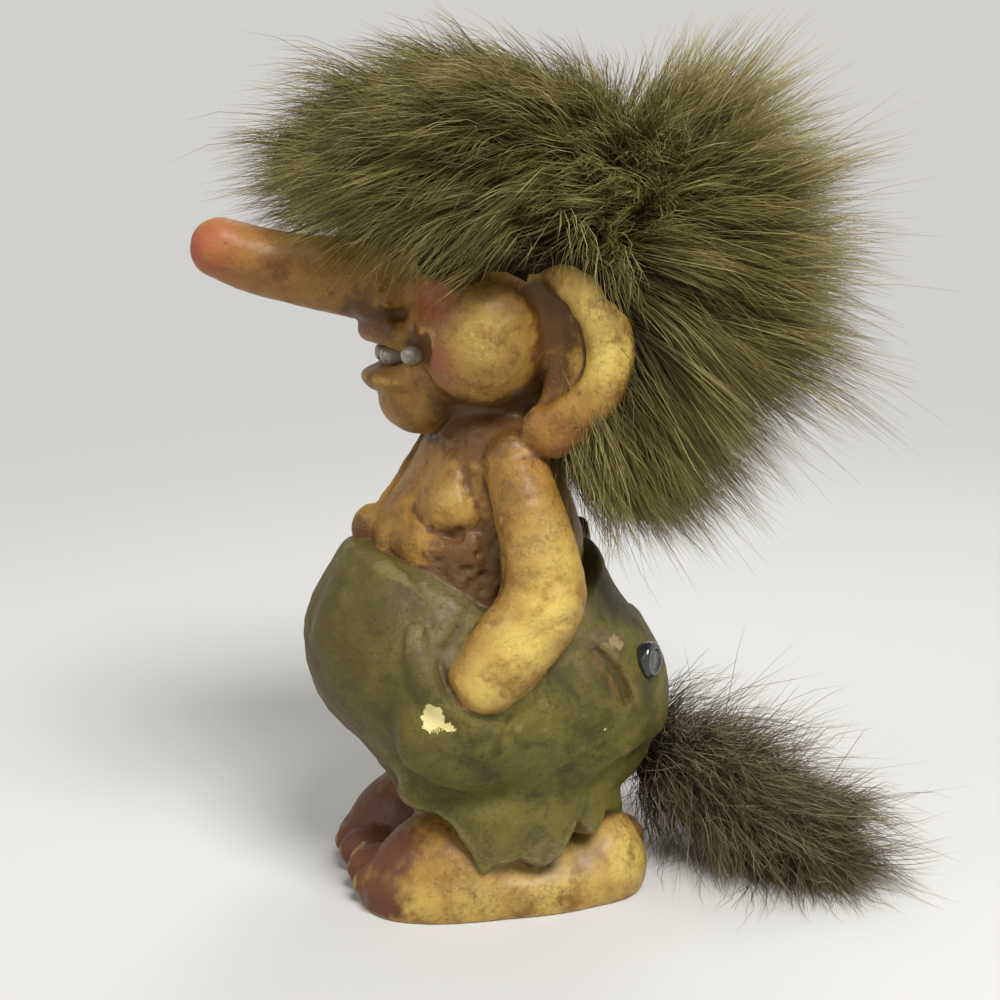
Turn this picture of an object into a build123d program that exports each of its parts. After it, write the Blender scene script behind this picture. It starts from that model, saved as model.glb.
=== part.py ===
from build123d import *
import os

# A folk troll: a painted casting with set-in teeth, eyes and buttons, and glued fur.
# Millimetres. It stands on z = 0 and faces -Y, so its left side is +X.
# Each piece is cut by the pieces that it is seated on or holds, so they meet face to face.

os.makedirs("parts", exist_ok=True)

# Feet
foot_length = 41.0
foot_width = 19.3
heel_reach = 19.4
sole_edge_height = 5.6
sole_edge_round = 2.2
heel_height = 11.4
instep_height = 9.6
ankle_width = 12.5
ankle_depth = 21.0
ankle_height = 13.0
toe_length = 10.0
toe_width = 6.2
toe_height = 6.6
big_toe_reach = 21.9
foot_slope_reach = 21.0
foot_slope_length = 26.0
foot_slope_height = 13.4
foot_outline_shares = (
    (0.0, 0.0), (0.36, 0.01), (0.72, 0.075), (0.93, 0.28), (0.99, 0.55), (0.9, 0.83), (0.6, 0.945), (0.0, 0.96),
)
toe_place_shares = ((0.155, 1.0, 1.0), (0.405, 0.985, 0.92), (0.635, 0.93, 0.86), (0.84, 0.81, 0.8))

# Trousers
hem_height = 7.4
leg_top_height = 22.0
leg_back = 0.7
waist_height = 49.5
belly_reach = 28.0
seat_reach = 25.6
hip_width = 44.0
leg_spread = 9.9
leg_width = 18.6
leg_depth = 30.0
hem_notch_width = 5.0
hem_notch_edge = 7.0
front_hem_rise = 20.4
waist_dip = 9.0
cuff_shares = ((0.0, 1.0, 1.0), (0.4, 0.92, 0.95), (1.0, 0.92, 0.88))
trouser_shares = (
    (0.27, 0.56, 0.60, 0.72),
    (0.34, 0.58, 0.86, 0.80),
    (0.43, 0.71, 0.965, 0.92),
    (0.53, 0.895, 0.995, 0.985),
    (0.64, 0.98, 0.95, 1.0),
    (0.75, 1.0, 0.84, 0.97),
    (0.85, 0.955, 0.675, 0.89),
    (0.93, 0.875, 0.565, 0.82),
    (1.03, 0.69, 0.49, 0.75),
)

# Torso
torso_length = 24.0
chest_reach = 18.6
back_reach = 12.0
chest_width = 32.0
breast_size = 10.8
breast_spread = 8.6
roll_size = 10.0
torso_shares = (
    (-0.55, 0.85, 0.8, 0.92),
    (-0.25, 0.95, 0.95, 1.0),
    (0.02, 1.0, 1.0, 1.02),
    (0.2, 0.97, 0.88, 0.98),
    (0.36, 0.76, 0.74, 0.93),
    (0.52, 0.61, 0.62, 0.84),
    (0.66, 0.51, 0.54, 0.68),
    (0.82, 0.43, 0.5, 0.5),
    (1.0, 0.38, 0.46, 0.44),
)

# Arms
arm_thickness = 9.0
upper_arm_depth = 9.6
elbow_spread = 20.2
arm_length = 33.0
arm_path_shares = (
    (0.68, -0.08, 0.0), (0.93, -0.02, 0.36), (1.0, 0.0, 0.57), (1.0, -0.17, 0.8), (0.92, -0.33, 1.02),
)
arm_section_shares = (
    (0.0, 0.8, 0.85), (0.2, 0.98, 0.96), (0.42, 0.98, 1.02), (0.6, 1.06, 1.3), (0.78, 0.95, 1.28), (0.92, 0.8, 1.05),
    (1.0, 0.5, 0.7),
)

# Pocket pouches
pouch_depth = 18.0
pouch_height = 17.0
pouch_thickness = 10.0
pouch_mouth_tilt = 38.5

# Seat flap, brace and buttons
flap_thickness = 0.9
flap_width = 36.0
flap_height = 17.0
flap_rise = 30.0
flap_round = 4.0
seat_button_radius = 2.5
seat_button_thickness = 2.4
seat_button_round = 0.8
seat_button_spread = 14.2
seat_button_rise = 34.4
seat_button_facing = (1.0, 1.0, 0.1)
brace_width = 5.0
brace_thickness = 0.8
brace_foot_spread = 3.0
brace_top_spread = 9.0
brace_knob_size = 6.4
brace_knob_height = 51.5
brace_button_radius = 2.7
brace_button_height = 48.6
brace_button_facing = (0.0, 1.0, 0.1)

# Head, with the heights of its features above the chin
chin_height = 65.0
head_height = 38.5
skull_width = 32.0
skull_depth = 33.0
skull_height = 32.0
jaw_width = 28.0
jaw_depth = 26.0
jaw_height = 21.0
cheek_size = 18.0
cheek_height = 19.4
cheek_spread = 9.4
cheek_reach = 4.8
cheek_rise = 14.8
mouth_rise = 11.3
mouth_gap = 3.2
mouth_width = 20.0
mouth_depth = 5.2
lip_reach = 19.6
muzzle_width = 21.0
muzzle_depth = 18.0
muzzle_height = 19.0
muzzle_reach = 17.6
lip_width = 15.0
upper_lip_height = 6.8
lower_lip_height = 4.6
chin_width = 13.6
chin_depth = 12.6
chin_size = 10.6
chin_reach = 17.1

# Teeth and eyes
tooth_radius = 1.2
tooth_length = 4.4
front_tooth_spread = 2.3
front_tooth_turn = 8.0
front_tooth_reach = 16.9
side_tooth_spread = 6.8
side_tooth_turn = 42.0
side_tooth_reach = 14.0
eye_radius = 2.4
eye_spread = 7.2
eye_reach = 11.6
eye_rise = 27.6

# Nose
nose_reach = 42.0
nose_rise = 22.5
nose_tip_size = 8.0
nose_root_size = 12.6
nose_path_shares = (
    (0.286, -0.007), (0.476, -0.02), (0.595, -0.005), (0.714, 0.014), (0.833, 0.05), (0.905, 0.083),
)
nose_section_shares = ((0.0, 1.0), (0.3, 0.565), (0.49, 0.38), (0.68, 0.25), (0.875, 0.09), (1.0, 0.0))

# Ears
ear_length = 26.8
ear_depth = 13.0
ear_thickness = 5.4
ear_spread = 16.4
ear_front = 1.2
ear_drop = 1.6
ear_turn = 24.0
ear_scoop_depth = 3.2
ear_leaf_shares = ((-0.5, 0.7), (-0.25, 0.94), (0.0, 1.0), (0.25, 0.95), (0.5, 0.74))
ear_outline_shares = (
    (0.2, 1.0), (0.72, 0.86), (1.0, 0.58), (0.82, 0.28), (0.3, 0.0), (0.0, 0.16), (0.06, 0.48), (0.0, 0.8),
)

# Fur and its hide backing
hide_thickness = 1.0
hide_edge_rise = 28.5
hide_edge_tilt = 28.0
hide_seam_back = 12.0
hair_height = 119.4
fringe_reach = 33.0
mane_reach = 53.0
mane_foot_height = 50.0
hair_width = 50.0
fringe_shares = (
    (-0.98, 0.832, 0.85, 0.12),
    (-0.9, 0.815, 0.88, 0.32),
    (-0.75, 0.79, 0.917, 0.52),
    (-0.5, 0.755, 0.948, 0.68),
    (-0.2, 0.70, 0.97, 0.77),
    (0.12, 0.68, 0.962, 0.81),
    (0.42, 0.70, 0.938, 0.80),
    (0.62, 0.76, 0.915, 0.66),
)
mane_shares = (
    (0.0, 0.24, 0.60, 0.36),
    (0.08, 0.12, 0.665, 0.56),
    (0.2, 0.06, 0.725, 0.72),
    (0.32, 0.0, 0.83, 0.84),
    (0.43, -0.04, 0.935, 0.91),
    (0.52, -0.05, 0.975, 0.94),
    (0.63, -0.02, 0.94, 0.92),
    (0.75, 0.08, 0.85, 0.82),
    (0.86, 0.30, 0.775, 0.64),
    (0.94, 0.50, 0.755, 0.38),
    (0.99, 0.63, 0.735, 0.14),
)

# Tail
tail_root_height = 16.5
tail_strip_radius = 1.5
tail_fur_width = 20.0
tail_fur_height = 15.0
tail_reach = 50.0
tail_swing = 15.0
tail_path_shares = ((0.43, 0.0, 1.0), (0.53, 0.02, 0.7), (0.66, 0.14, 0.42), (0.82, 0.5, 0.33), (1.0, 1.0, 0.24))
tail_fur_shares = (
    (0.08, 0.3, 0.45), (0.2, 0.62, 0.92), (0.42, 0.95, 0.9), (0.62, 1.0, 0.72), (0.82, 0.78, 0.6), (1.0, 0.3, 0.32),
)


def lump(width, depth, height, centre, mode=Mode.ADD):
    """Add a spheroid of the given full sizes to the part being built, or cut it away."""
    ball = scale(Sphere(1, mode=Mode.PRIVATE), by=(width / 2, depth / 2, height / 2), mode=Mode.PRIVATE)
    place = centre if isinstance(centre, Location) else Location(centre)
    add(ball.moved(place), mode=mode)


def level_loft(rows, mode=Mode.ADD):
    """Loft level ovals, each given as its height, front, back and width."""
    sections = []
    for height, front, back, width in rows:
        with BuildSketch(Plane.XY.offset(height)) as oval:
            with Locations((0, (front + back) / 2)):
                Ellipse(width / 2, (back - front) / 2)
        sections.append(oval.sketch.face())
    loft(sections, mode=mode)


def path_loft(path, rows):
    """Loft ovals that stand square to a path, each given as its place, width and depth."""
    sections = []
    for place, width, depth in rows:
        with BuildSketch(Plane(origin=path @ place, x_dir=(1, 0, 0), z_dir=path % place)) as oval:
            Ellipse(width / 2, depth / 2)
        sections.append(oval.sketch.face())
    loft(sections)


def cut_by(*neighbours):
    """Cut the part being built back to the faces of the finished pieces it meets."""
    for neighbour in neighbours:
        add(neighbour.part, mode=Mode.SUBTRACT)


# Left foot: a sole slab with a raised heel, a steep front slope up under the cuff, and four toes
with BuildPart() as left_foot:
    with BuildSketch():
        with BuildLine():
            edge = Spline([(foot_width * out, heel_reach - foot_length * ahead) for out, ahead in foot_outline_shares])
            Line(edge @ 1, edge @ 0)
        make_face()
    extrude(amount=sole_edge_height)
    fillet(left_foot.edges().group_by(Axis.Z)[-1], radius=sole_edge_round)
    heel_depth = foot_length * 0.3
    lump(foot_width * 0.9, heel_depth, 2 * (heel_height - sole_edge_height),
         (foot_width / 2, heel_reach - heel_depth / 2, sole_edge_height))
    lump(foot_width * 0.9, foot_length * 0.84, 2 * (instep_height - sole_edge_height / 2),
         (foot_width / 2, heel_reach - foot_length * 0.5, sole_edge_height / 2))
    lump(foot_width * 0.9, foot_slope_length, 2 * (foot_slope_height - sole_edge_height / 2),
         (foot_width / 2, foot_slope_length / 2 - foot_slope_reach, sole_edge_height / 2))
    with BuildSketch(Plane.XY.offset(sole_edge_height / 2)):
        with Locations((leg_spread, 0)):
            Ellipse(ankle_width / 2, ankle_depth / 2)
    extrude(amount=ankle_height - sole_edge_height / 2)
    for out, ahead, size in toe_place_shares:
        lump(toe_width * size, toe_length * size, toe_height * size,
             (foot_width * out, toe_length * size / 2 - big_toe_reach * ahead, toe_height * size * 0.45))
    split(bisect_by=Plane.XY, keep=Keep.TOP)
    split(bisect_by=Plane.YZ, keep=Keep.TOP)

with BuildPart() as right_foot:
    mirror(left_foot.part, about=Plane.YZ)

# Torso: a sloping chest that runs up into the neck, with sagging breasts and a belly roll
torso_rows = [
    (waist_height + torso_length * up, -chest_reach * ahead, back_reach * behind, chest_width * wide)
    for up, ahead, behind, wide in torso_shares
]
breast_height = waist_height + torso_length * 0.37
breast_middle = -chest_reach * 0.4
with BuildPart() as torso:
    level_loft(torso_rows)
    for side in (1, -1):
        lump(breast_size, breast_size, breast_size, (side * breast_spread, breast_middle, breast_height))
        lump(roll_size * 1.2, roll_size, roll_size * 0.9,
             (side * breast_spread * 0.85, -chest_reach * 0.68, waist_height + roll_size * 0.2))

# Left arm: shoulder, bent elbow and a flat forearm that goes down into the pocket
shoulder_height = waist_height + torso_length * 0.6
arm_points = [
    (elbow_spread * out, arm_length * back, shoulder_height - arm_length * down)
    for out, back, down in arm_path_shares
]
arm_rows = [
    (place, arm_thickness * out, upper_arm_depth * deep)
    for place, out, deep in arm_section_shares
]
with BuildPart() as left_arm:
    with BuildLine(mode=Mode.PRIVATE) as arm_line:
        Spline(arm_points)
    path_loft(arm_line.line, arm_rows)
    lump(arm_thickness * 1.1, upper_arm_depth * 1.1, arm_thickness * 1.2, arm_points[0])
    cut_by(torso)

with BuildPart() as right_arm:
    mirror(left_arm.part, about=Plane.YZ)


# Teeth: round pegs that stand out of the gum between the lips
mouth_height = chin_height + mouth_rise


def tooth(spread, reach, turn):
    """Make one peg tooth with a domed end, pointing forwards and turned outwards."""
    seat = Plane(origin=(spread, -reach, mouth_height), z_dir=Vector(0, -1, 0).rotate(Axis.Z, turn))
    with BuildPart() as peg:
        with BuildSketch(seat.offset(-tooth_length)):
            Circle(tooth_radius)
        extrude(amount=tooth_length - tooth_radius / 2)
        fillet(peg.edges().sort_by(Axis(seat.origin, seat.z_dir))[-1], radius=tooth_radius / 2)
    return peg


left_front_tooth = tooth(front_tooth_spread, front_tooth_reach, front_tooth_turn)
left_side_tooth = tooth(side_tooth_spread, side_tooth_reach, side_tooth_turn)
right_front_tooth = tooth(-front_tooth_spread, front_tooth_reach, -front_tooth_turn)
right_side_tooth = tooth(-side_tooth_spread, side_tooth_reach, -side_tooth_turn)
teeth = (left_front_tooth, left_side_tooth, right_front_tooth, right_side_tooth)

# Eyes: glass beads sunk in the face beside the root of the nose, under the fringe
with BuildPart(Location((eye_spread, -eye_reach, chin_height + eye_rise))) as left_eye:
    Sphere(eye_radius)

with BuildPart() as right_eye:
    mirror(left_eye.part, about=Plane.YZ)

# Head: skull and jaw, ball cheeks, and lips that part over the teeth
skull_centre = (0, skull_depth / 2 - chin_reach * 0.9, chin_height + head_height - skull_height / 2)
with BuildPart() as head:
    lump(skull_width, skull_depth, skull_height, skull_centre)
    lump(jaw_width, jaw_depth, jaw_height, (0, -jaw_depth * 0.04, chin_height + jaw_height * 0.55))
    for side in (1, -1):
        lump(cheek_size, cheek_size, cheek_height, (side * cheek_spread, -cheek_reach, chin_height + cheek_rise))
    lump(muzzle_width, muzzle_depth, muzzle_height, (0, muzzle_depth / 2 - muzzle_reach, mouth_height + mouth_gap * 0.2))
    lump(lip_width, chin_depth, upper_lip_height,
         (0, chin_depth / 2 - lip_reach, mouth_height + mouth_gap / 2 + upper_lip_height * 0.26))
    lump(lip_width * 0.88, chin_depth * 0.8, lower_lip_height,
         (0, chin_depth * 0.4 - lip_reach, mouth_height - mouth_gap / 2 - lower_lip_height * 0.36))
    lump(chin_width, chin_depth, chin_size, (0, chin_depth / 2 - chin_reach, chin_height + chin_size / 2))
    lump(mouth_width, 2 * mouth_depth, mouth_gap, (0, -lip_reach, mouth_height), mode=Mode.SUBTRACT)
    cut_by(torso, left_eye, right_eye, *teeth)

# Nose: a long sausage that droops at the root and lifts to a round tip
nose_height = chin_height + nose_rise
nose_points = [(0, -nose_reach * ahead, nose_height + nose_reach * up) for ahead, up in nose_path_shares]
with BuildPart() as nose:
    with BuildLine(mode=Mode.PRIVATE) as nose_line:
        Spline(nose_points)
    nose_sizes = [nose_tip_size + (nose_root_size - nose_tip_size) * grow for place, grow in nose_section_shares]
    path_loft(nose_line.line, [(row[0], size, size) for row, size in zip(nose_section_shares, nose_sizes)])
    lump(nose_tip_size, nose_tip_size, nose_tip_size, nose_points[-1])
    cut_by(head, left_eye, right_eye)

# Left ear: a leaf that stands off the head, with a scooped bowl and a thick rim
ear_plane = Plane(
    origin=(ear_spread, -ear_front, chin_height - ear_drop),
    x_dir=Vector(0, 1, 0).rotate(Axis.Z, -ear_turn),
    z_dir=Vector(1, 0, 0).rotate(Axis.Z, -ear_turn),
)
with BuildPart() as left_ear:
    for out, size in ear_leaf_shares:
        with BuildSketch(ear_plane.offset(ear_thickness * out)):
            with BuildLine():
                Spline([
                    (ear_depth * (0.5 + (back - 0.5) * size), ear_length * (0.5 + (up - 0.5) * (1 + size) / 2))
                    for back, up in ear_outline_shares
                ], periodic=True)
            make_face()
    loft()
    scoop = ear_plane.location * Location((ear_depth * 0.42, ear_length * 0.6, ear_thickness / 2))
    lump(ear_depth * 0.6, ear_length * 0.62, 2 * ear_scoop_depth, scoop, mode=Mode.SUBTRACT)
    ear_root = (ear_spread - ear_thickness * 0.7, ear_depth * 0.2, chin_height + ear_length * 0.5)
    lump(ear_thickness * 2, ear_depth * 0.7, ear_length * 0.6, ear_root)
    cut_by(head, torso, left_arm)

with BuildPart() as right_ear:
    mirror(left_ear.part, about=Plane.YZ)

# Brace strap: a band over the far shoulder, from the knob in front to the button behind
brace_foot = (-brace_foot_spread, waist_height)
brace_top = (-brace_top_spread, waist_height + torso_length * 0.75)
with BuildPart() as brace_strap:
    level_loft([
        (height, front - brace_thickness, back + brace_thickness, width + 2 * brace_thickness)
        for height, front, back, width in torso_rows
    ])
    breast_cover = breast_size + 2 * brace_thickness
    lump(breast_cover, breast_cover, breast_cover, (-breast_spread, breast_middle, breast_height))
    with BuildSketch(Plane.XZ):
        with BuildLine():
            brace_run = Line(brace_foot, brace_top)
        trace(line_width=brace_width)
    extrude(amount=chest_reach * 2, both=True, mode=Mode.INTERSECT)
    cut_by(torso, head, right_arm, right_ear)

# Tail: a strip of hide that leaves the seat and lies back along the floor
tail_points = [(tail_swing * out, tail_reach * back, tail_root_height * up) for back, out, up in tail_path_shares]
with BuildPart() as tail_hide:
    with BuildLine():
        tail_line = Spline(tail_points)
    with BuildSketch(Plane(origin=tail_line @ 0, x_dir=(1, 0, 0), z_dir=tail_line % 0)):
        Circle(tail_strip_radius)
    sweep()

# Buttons: round discs with softened rims
def button(radius, thickness, seat, *carriers):
    """Make a disc button whose back is sunk a third into its seat, cut by what carries it."""
    with BuildPart() as disc:
        with BuildSketch(seat.offset(-thickness / 3)):
            Circle(radius)
        extrude(amount=thickness)
        fillet(disc.edges().filter_by(GeomType.CIRCLE), radius=seat_button_round)
        cut_by(*carriers)
    return disc


seat_button_seat = Plane(
    origin=(seat_button_spread, seat_reach * 0.67, seat_button_rise), z_dir=seat_button_facing)
seat_button = button(seat_button_radius, seat_button_thickness, seat_button_seat)
brace_button_seat = Plane(
    origin=(-brace_foot_spread, back_reach + brace_thickness * 0.8, brace_button_height), z_dir=brace_button_facing)
brace_button = button(brace_button_radius, seat_button_thickness, brace_button_seat, torso, brace_strap)

# Brace knob: the rounded front end of the strap, on the edge of the waistband
with BuildPart() as brace_knob:
    with Locations((-brace_foot_spread, -chest_reach, brace_knob_height)):
        Sphere(brace_knob_size / 2)
    cut_by(torso, brace_strap)

# Trousers: a big belly and seat over two short legs, whose torn cuffs rise in front over the feet
trouser_rows = [
    (waist_height * up, -belly_reach * ahead, seat_reach * behind, hip_width * wide)
    for up, ahead, behind, wide in trouser_shares
]
with BuildPart() as trousers:
    level_loft(trouser_rows)
    for side in (1, -1):
        for up, wide, deep in cuff_shares:
            with BuildSketch(Plane.XY.offset(hem_height + (leg_top_height - hem_height) * up)):
                with Locations((side * leg_spread, leg_back)):
                    Ellipse(leg_width / 2 * wide, leg_depth / 2 * deep)
        loft()
    with BuildSketch(Plane.YZ):
        with Locations((leg_depth * 0.3, hem_height)):
            Triangle(a=hem_notch_width, b=hem_notch_edge, c=hem_notch_edge)
        with BuildLine():
            front_hem = Line((-leg_depth * 0.28, hem_height), (-belly_reach, hem_height + front_hem_rise))
            Polyline(front_hem @ 1, (-belly_reach, 0), (-leg_depth * 0.28, 0), front_hem @ 0)
        make_face()
    extrude(amount=hip_width / 2, both=True, mode=Mode.SUBTRACT)
    with BuildSketch(Plane.XZ):
        with BuildLine():
            waist = ThreePointArc(
                (-hip_width / 2, waist_height - waist_dip), (0, waist_height), (hip_width / 2, waist_height - waist_dip))
            Polyline(
                waist @ 1, (hip_width / 2, waist_height + waist_dip), (-hip_width / 2, waist_height + waist_dip),
                waist @ 0)
        make_face()
    extrude(amount=belly_reach, both=True, mode=Mode.SUBTRACT)
    cut_by(torso, left_arm, right_arm, left_foot, right_foot)
    cut_by(brace_strap, brace_knob, brace_button, seat_button, tail_hide)

# Seat flap: a thin panel that follows the seat, with the button near its corner
with BuildPart() as seat_flap:
    level_loft([
        (height, front - flap_thickness, back + flap_thickness, width + 2 * flap_thickness)
        for height, front, back, width in trouser_rows
    ])
    with BuildSketch(Plane.XZ):
        with Locations((0, flap_rise)):
            RectangleRounded(flap_width, flap_height, flap_round)
    extrude(amount=-2 * seat_reach, mode=Mode.INTERSECT)
    level_loft(trouser_rows, mode=Mode.SUBTRACT)
    cut_by(seat_button, tail_hide)

# Left pocket: a pouch on the hip round the hand, open along a slanting lip
pouch_centre = (hip_width * 0.43, -belly_reach * 0.34, waist_height * 0.64)
with BuildPart() as left_pocket:
    lump(pouch_thickness, pouch_depth, pouch_height, pouch_centre)
    pouch_mouth = Plane(
        origin=(hip_width * 0.43, -belly_reach * 0.34, waist_height * 0.72),
        z_dir=Vector(0, 0, 1).rotate(Axis.X, -pouch_mouth_tilt))
    split(bisect_by=pouch_mouth, keep=Keep.BOTTOM)
    cut_by(trousers, left_arm)

with BuildPart() as right_pocket:
    mirror(left_pocket.part, about=Plane.YZ)

# Hide backing: a cap on the scalp in two pieces that meet at a seam over the crown
hide_edge = Plane(
    origin=(0, -skull_depth * 0.4, chin_height + hide_edge_rise),
    z_dir=Vector(0, 0, 1).rotate(Axis.X, -hide_edge_tilt),
)
hide_seam = Plane(origin=(0, hide_seam_back, 0), z_dir=(0, 1, 0))


def hide(side_kept):
    """Make the part of the scalp cap that lies on one side of the seam."""
    with BuildPart() as cap:
        cover = 2 * hide_thickness
        lump(skull_width + cover, skull_depth + cover, skull_height + cover, skull_centre)
        split(bisect_by=hide_edge, keep=Keep.TOP)
        split(bisect_by=hide_seam, keep=side_kept)
        cut_by(head, nose, left_eye, right_eye, left_ear, right_ear)
    return cap


front_hide = hide(Keep.BOTTOM)
back_hide = hide(Keep.TOP)

# Front fur: combed forwards from the crown over the brow, out to a ragged fringe
with BuildPart() as front_fur:
    for back, low, high, wide in fringe_shares:
        with BuildSketch(Plane.XZ.offset(-fringe_reach * back)):
            with Locations((0, hair_height * (low + high) / 2)):
                Ellipse(hair_width * wide / 2, hair_height * (high - low) / 2)
    loft()
    cut_by(head, nose, left_eye, right_eye, left_ear, right_ear, front_hide, back_hide)

# Back fur: a mane that stands off the nape, with a peak behind the crown
mane_height = hair_height - mane_foot_height
with BuildPart() as back_fur:
    level_loft([
        (mane_foot_height + mane_height * up, mane_reach * ahead, mane_reach * behind, hair_width * wide)
        for up, ahead, behind, wide in mane_shares
    ])
    cut_by(front_fur, front_hide, back_hide, head, left_ear, right_ear, torso, left_arm, right_arm)
    cut_by(brace_strap, brace_button, trousers)

# Tail fur: a matted brush round the strip, thickest at the middle
with BuildPart() as tail_fur:
    path_loft(tail_line, [
        (place, tail_fur_width * wide, tail_fur_height * high) for place, wide, high in tail_fur_shares
    ])
    cut_by(tail_hide, trousers, seat_flap, left_foot, right_foot)
    split(bisect_by=Plane.XY.offset(tail_strip_radius / 2), keep=Keep.TOP)

pieces = {
    "left_foot": left_foot, "right_foot": right_foot, "trousers": trousers, "left_pocket": left_pocket,
    "right_pocket": right_pocket, "seat_flap": seat_flap, "seat_button": seat_button, "torso": torso,
    "left_arm": left_arm, "right_arm": right_arm, "brace_strap": brace_strap, "brace_knob": brace_knob,
    "brace_button": brace_button, "head": head, "nose": nose, "left_ear": left_ear, "right_ear": right_ear,
    "left_eye": left_eye, "right_eye": right_eye, "left_front_tooth": left_front_tooth,
    "left_side_tooth": left_side_tooth, "right_front_tooth": right_front_tooth,
    "right_side_tooth": right_side_tooth, "front_hide": front_hide, "back_hide": back_hide,
    "front_fur": front_fur, "back_fur": back_fur, "tail_hide": tail_hide, "tail_fur": tail_fur,
}
for name, piece in pieces.items():
    piece.part.label = name
    export_step(piece.part, f"parts/{name}.step")
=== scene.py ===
"""Looks for a folk troll: a painted casting with set-in teeth, eyes and buttons, and glued fake fur.

Sizes in the classes are millimetres. The troll stands on z = 0, faces -Y, and its left side is +X.
"""

import logging
import math
from dataclasses import dataclass
from enum import Enum
from itertools import product
from typing import Callable, Sequence

import bpy
import numpy as np
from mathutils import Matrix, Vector


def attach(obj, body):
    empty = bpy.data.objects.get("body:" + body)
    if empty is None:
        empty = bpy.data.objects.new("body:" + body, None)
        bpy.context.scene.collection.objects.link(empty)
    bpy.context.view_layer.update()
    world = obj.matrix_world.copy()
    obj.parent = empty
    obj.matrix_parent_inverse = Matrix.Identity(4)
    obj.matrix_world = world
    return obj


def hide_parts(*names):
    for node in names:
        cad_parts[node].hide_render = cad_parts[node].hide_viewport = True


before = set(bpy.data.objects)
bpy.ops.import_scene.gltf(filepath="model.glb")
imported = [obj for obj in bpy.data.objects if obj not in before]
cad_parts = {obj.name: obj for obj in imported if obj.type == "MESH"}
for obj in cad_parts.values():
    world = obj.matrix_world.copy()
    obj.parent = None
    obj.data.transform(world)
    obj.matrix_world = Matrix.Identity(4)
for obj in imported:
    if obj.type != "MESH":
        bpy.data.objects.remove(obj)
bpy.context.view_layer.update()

MM = 0.001
LOG = logging.getLogger("troll")

Point = tuple[float, float, float]
Colour = tuple[float, float, float]
Line = tuple[tuple[float, float], ...]
Path = tuple[Point, ...]
Rows = tuple[tuple[float, float, float, float], ...]
Spots = tuple[tuple[Point, float, float], ...]


def length_of(*parts: np.ndarray) -> np.ndarray:
    """Return the length of the vectors with these parts."""
    return np.sqrt(sum(part * part for part in parts))


def smooth_step(values: np.ndarray, low: float, high: float) -> np.ndarray:
    """Return 0 below low, 1 above high and a soft rise between them."""
    share = np.clip((values - low) / (high - low), 0.0, 1.0)
    return share * share * (3.0 - 2.0 * share)


def soft_least(first: np.ndarray, second: np.ndarray, blend: float) -> np.ndarray:
    """Return the lesser of two distances, rounded off where they are within blend of each other."""
    share = np.clip(0.5 + 0.5 * (second - first) / blend, 0.0, 1.0)
    return second + (first - second) * share - blend * share * (1.0 - share)


def smooth_curve(points: Sequence[Sequence[float]], count: int, closed: bool = False) -> np.ndarray:
    """Return points along a Catmull-Rom curve.

    Args:
        points: what the curve passes through.
        count: how many points to return.
        closed: whether the curve runs back to its start.

    Returns:
        An array with one row per point.
    """
    knots = np.asarray(points, float)
    total = len(knots) if closed else len(knots) - 1
    along = np.linspace(0, total, count, endpoint=not closed)
    base = np.minimum(along.astype(int), total - 1)
    share = (along - base)[:, None]
    picks = [base + shift for shift in (-1, 0, 1, 2)]
    if closed:
        before, start, end, after = (knots[pick % len(knots)] for pick in picks)
    else:
        padded = np.vstack([2 * knots[0] - knots[1], knots, 2 * knots[-1] - knots[-2]])
        before, start, end, after = (padded[pick + 1] for pick in picks)
    return 0.5 * (
        2 * start
        + (end - before) * share
        + (2 * before - 5 * start + 4 * end - after) * share**2
        + (3 * start - before - 3 * end + after) * share**3
    )


def value_noise(points: np.ndarray, size: float, seed: int) -> np.ndarray:
    """Return smooth noise from -1 to 1.

    Args:
        points: where to read it, one row each.
        size: how wide its lumps are.
        seed: which noise it is.

    Returns:
        One value per point.
    """
    table = np.random.default_rng(seed).uniform(-1, 1, 4096)
    cell = points / size + 200.0
    base = np.floor(cell).astype(np.int64)
    part = cell - base
    part = part * part * (3 - 2 * part)
    total = np.zeros(len(points))
    for corner in product((0, 1), repeat=3):
        key = (base + np.array(corner)) @ np.array((73856093, 19349663, 83492791))
        weight = np.prod(np.where(np.array(corner) == 1, part, 1 - part), axis=1)
        total += table[key % len(table)] * weight
    return total


def outline_distance(across: np.ndarray, up: np.ndarray, outline: np.ndarray) -> np.ndarray:
    """Return how far points are outside a closed flat outline, less than 0 inside it."""
    nearest = np.full(np.broadcast(across, up).shape, 1e9, np.float32)
    inside = np.zeros(nearest.shape, bool)
    for (x0, y0), (x1, y1) in zip(outline, np.roll(outline, -1, axis=0)):
        edge_x, edge_y = x1 - x0, y1 - y0
        share = np.clip(((across - x0) * edge_x + (up - y0) * edge_y) / (edge_x**2 + edge_y**2 + 1e-9), 0, 1)
        gap = (across - x0 - edge_x * share) ** 2 + (up - y0 - edge_y * share) ** 2
        nearest = np.minimum(nearest, gap)
        if y0 != y1:
            passes = ((up >= y0) != (up >= y1)) & (across < x0 + (up - y0) * edge_x / edge_y)
            inside ^= passes
    return np.where(inside, -1, 1) * np.sqrt(nearest)


class Form:
    """A shape that can be pressed into the clay or carved out of it."""

    def reach(self) -> tuple[np.ndarray, np.ndarray]:
        """Return the lowest and highest corner of its box."""
        raise NotImplementedError

    def distance(self, x: np.ndarray, y: np.ndarray, z: np.ndarray) -> np.ndarray:
        """Return how far points are outside it.

        Args:
            x: how far to the troll's left the points are.
            y: how far back they are.
            z: how high they are.

        Returns:
            The distance of each point, less than 0 inside.
        """
        raise NotImplementedError


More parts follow.
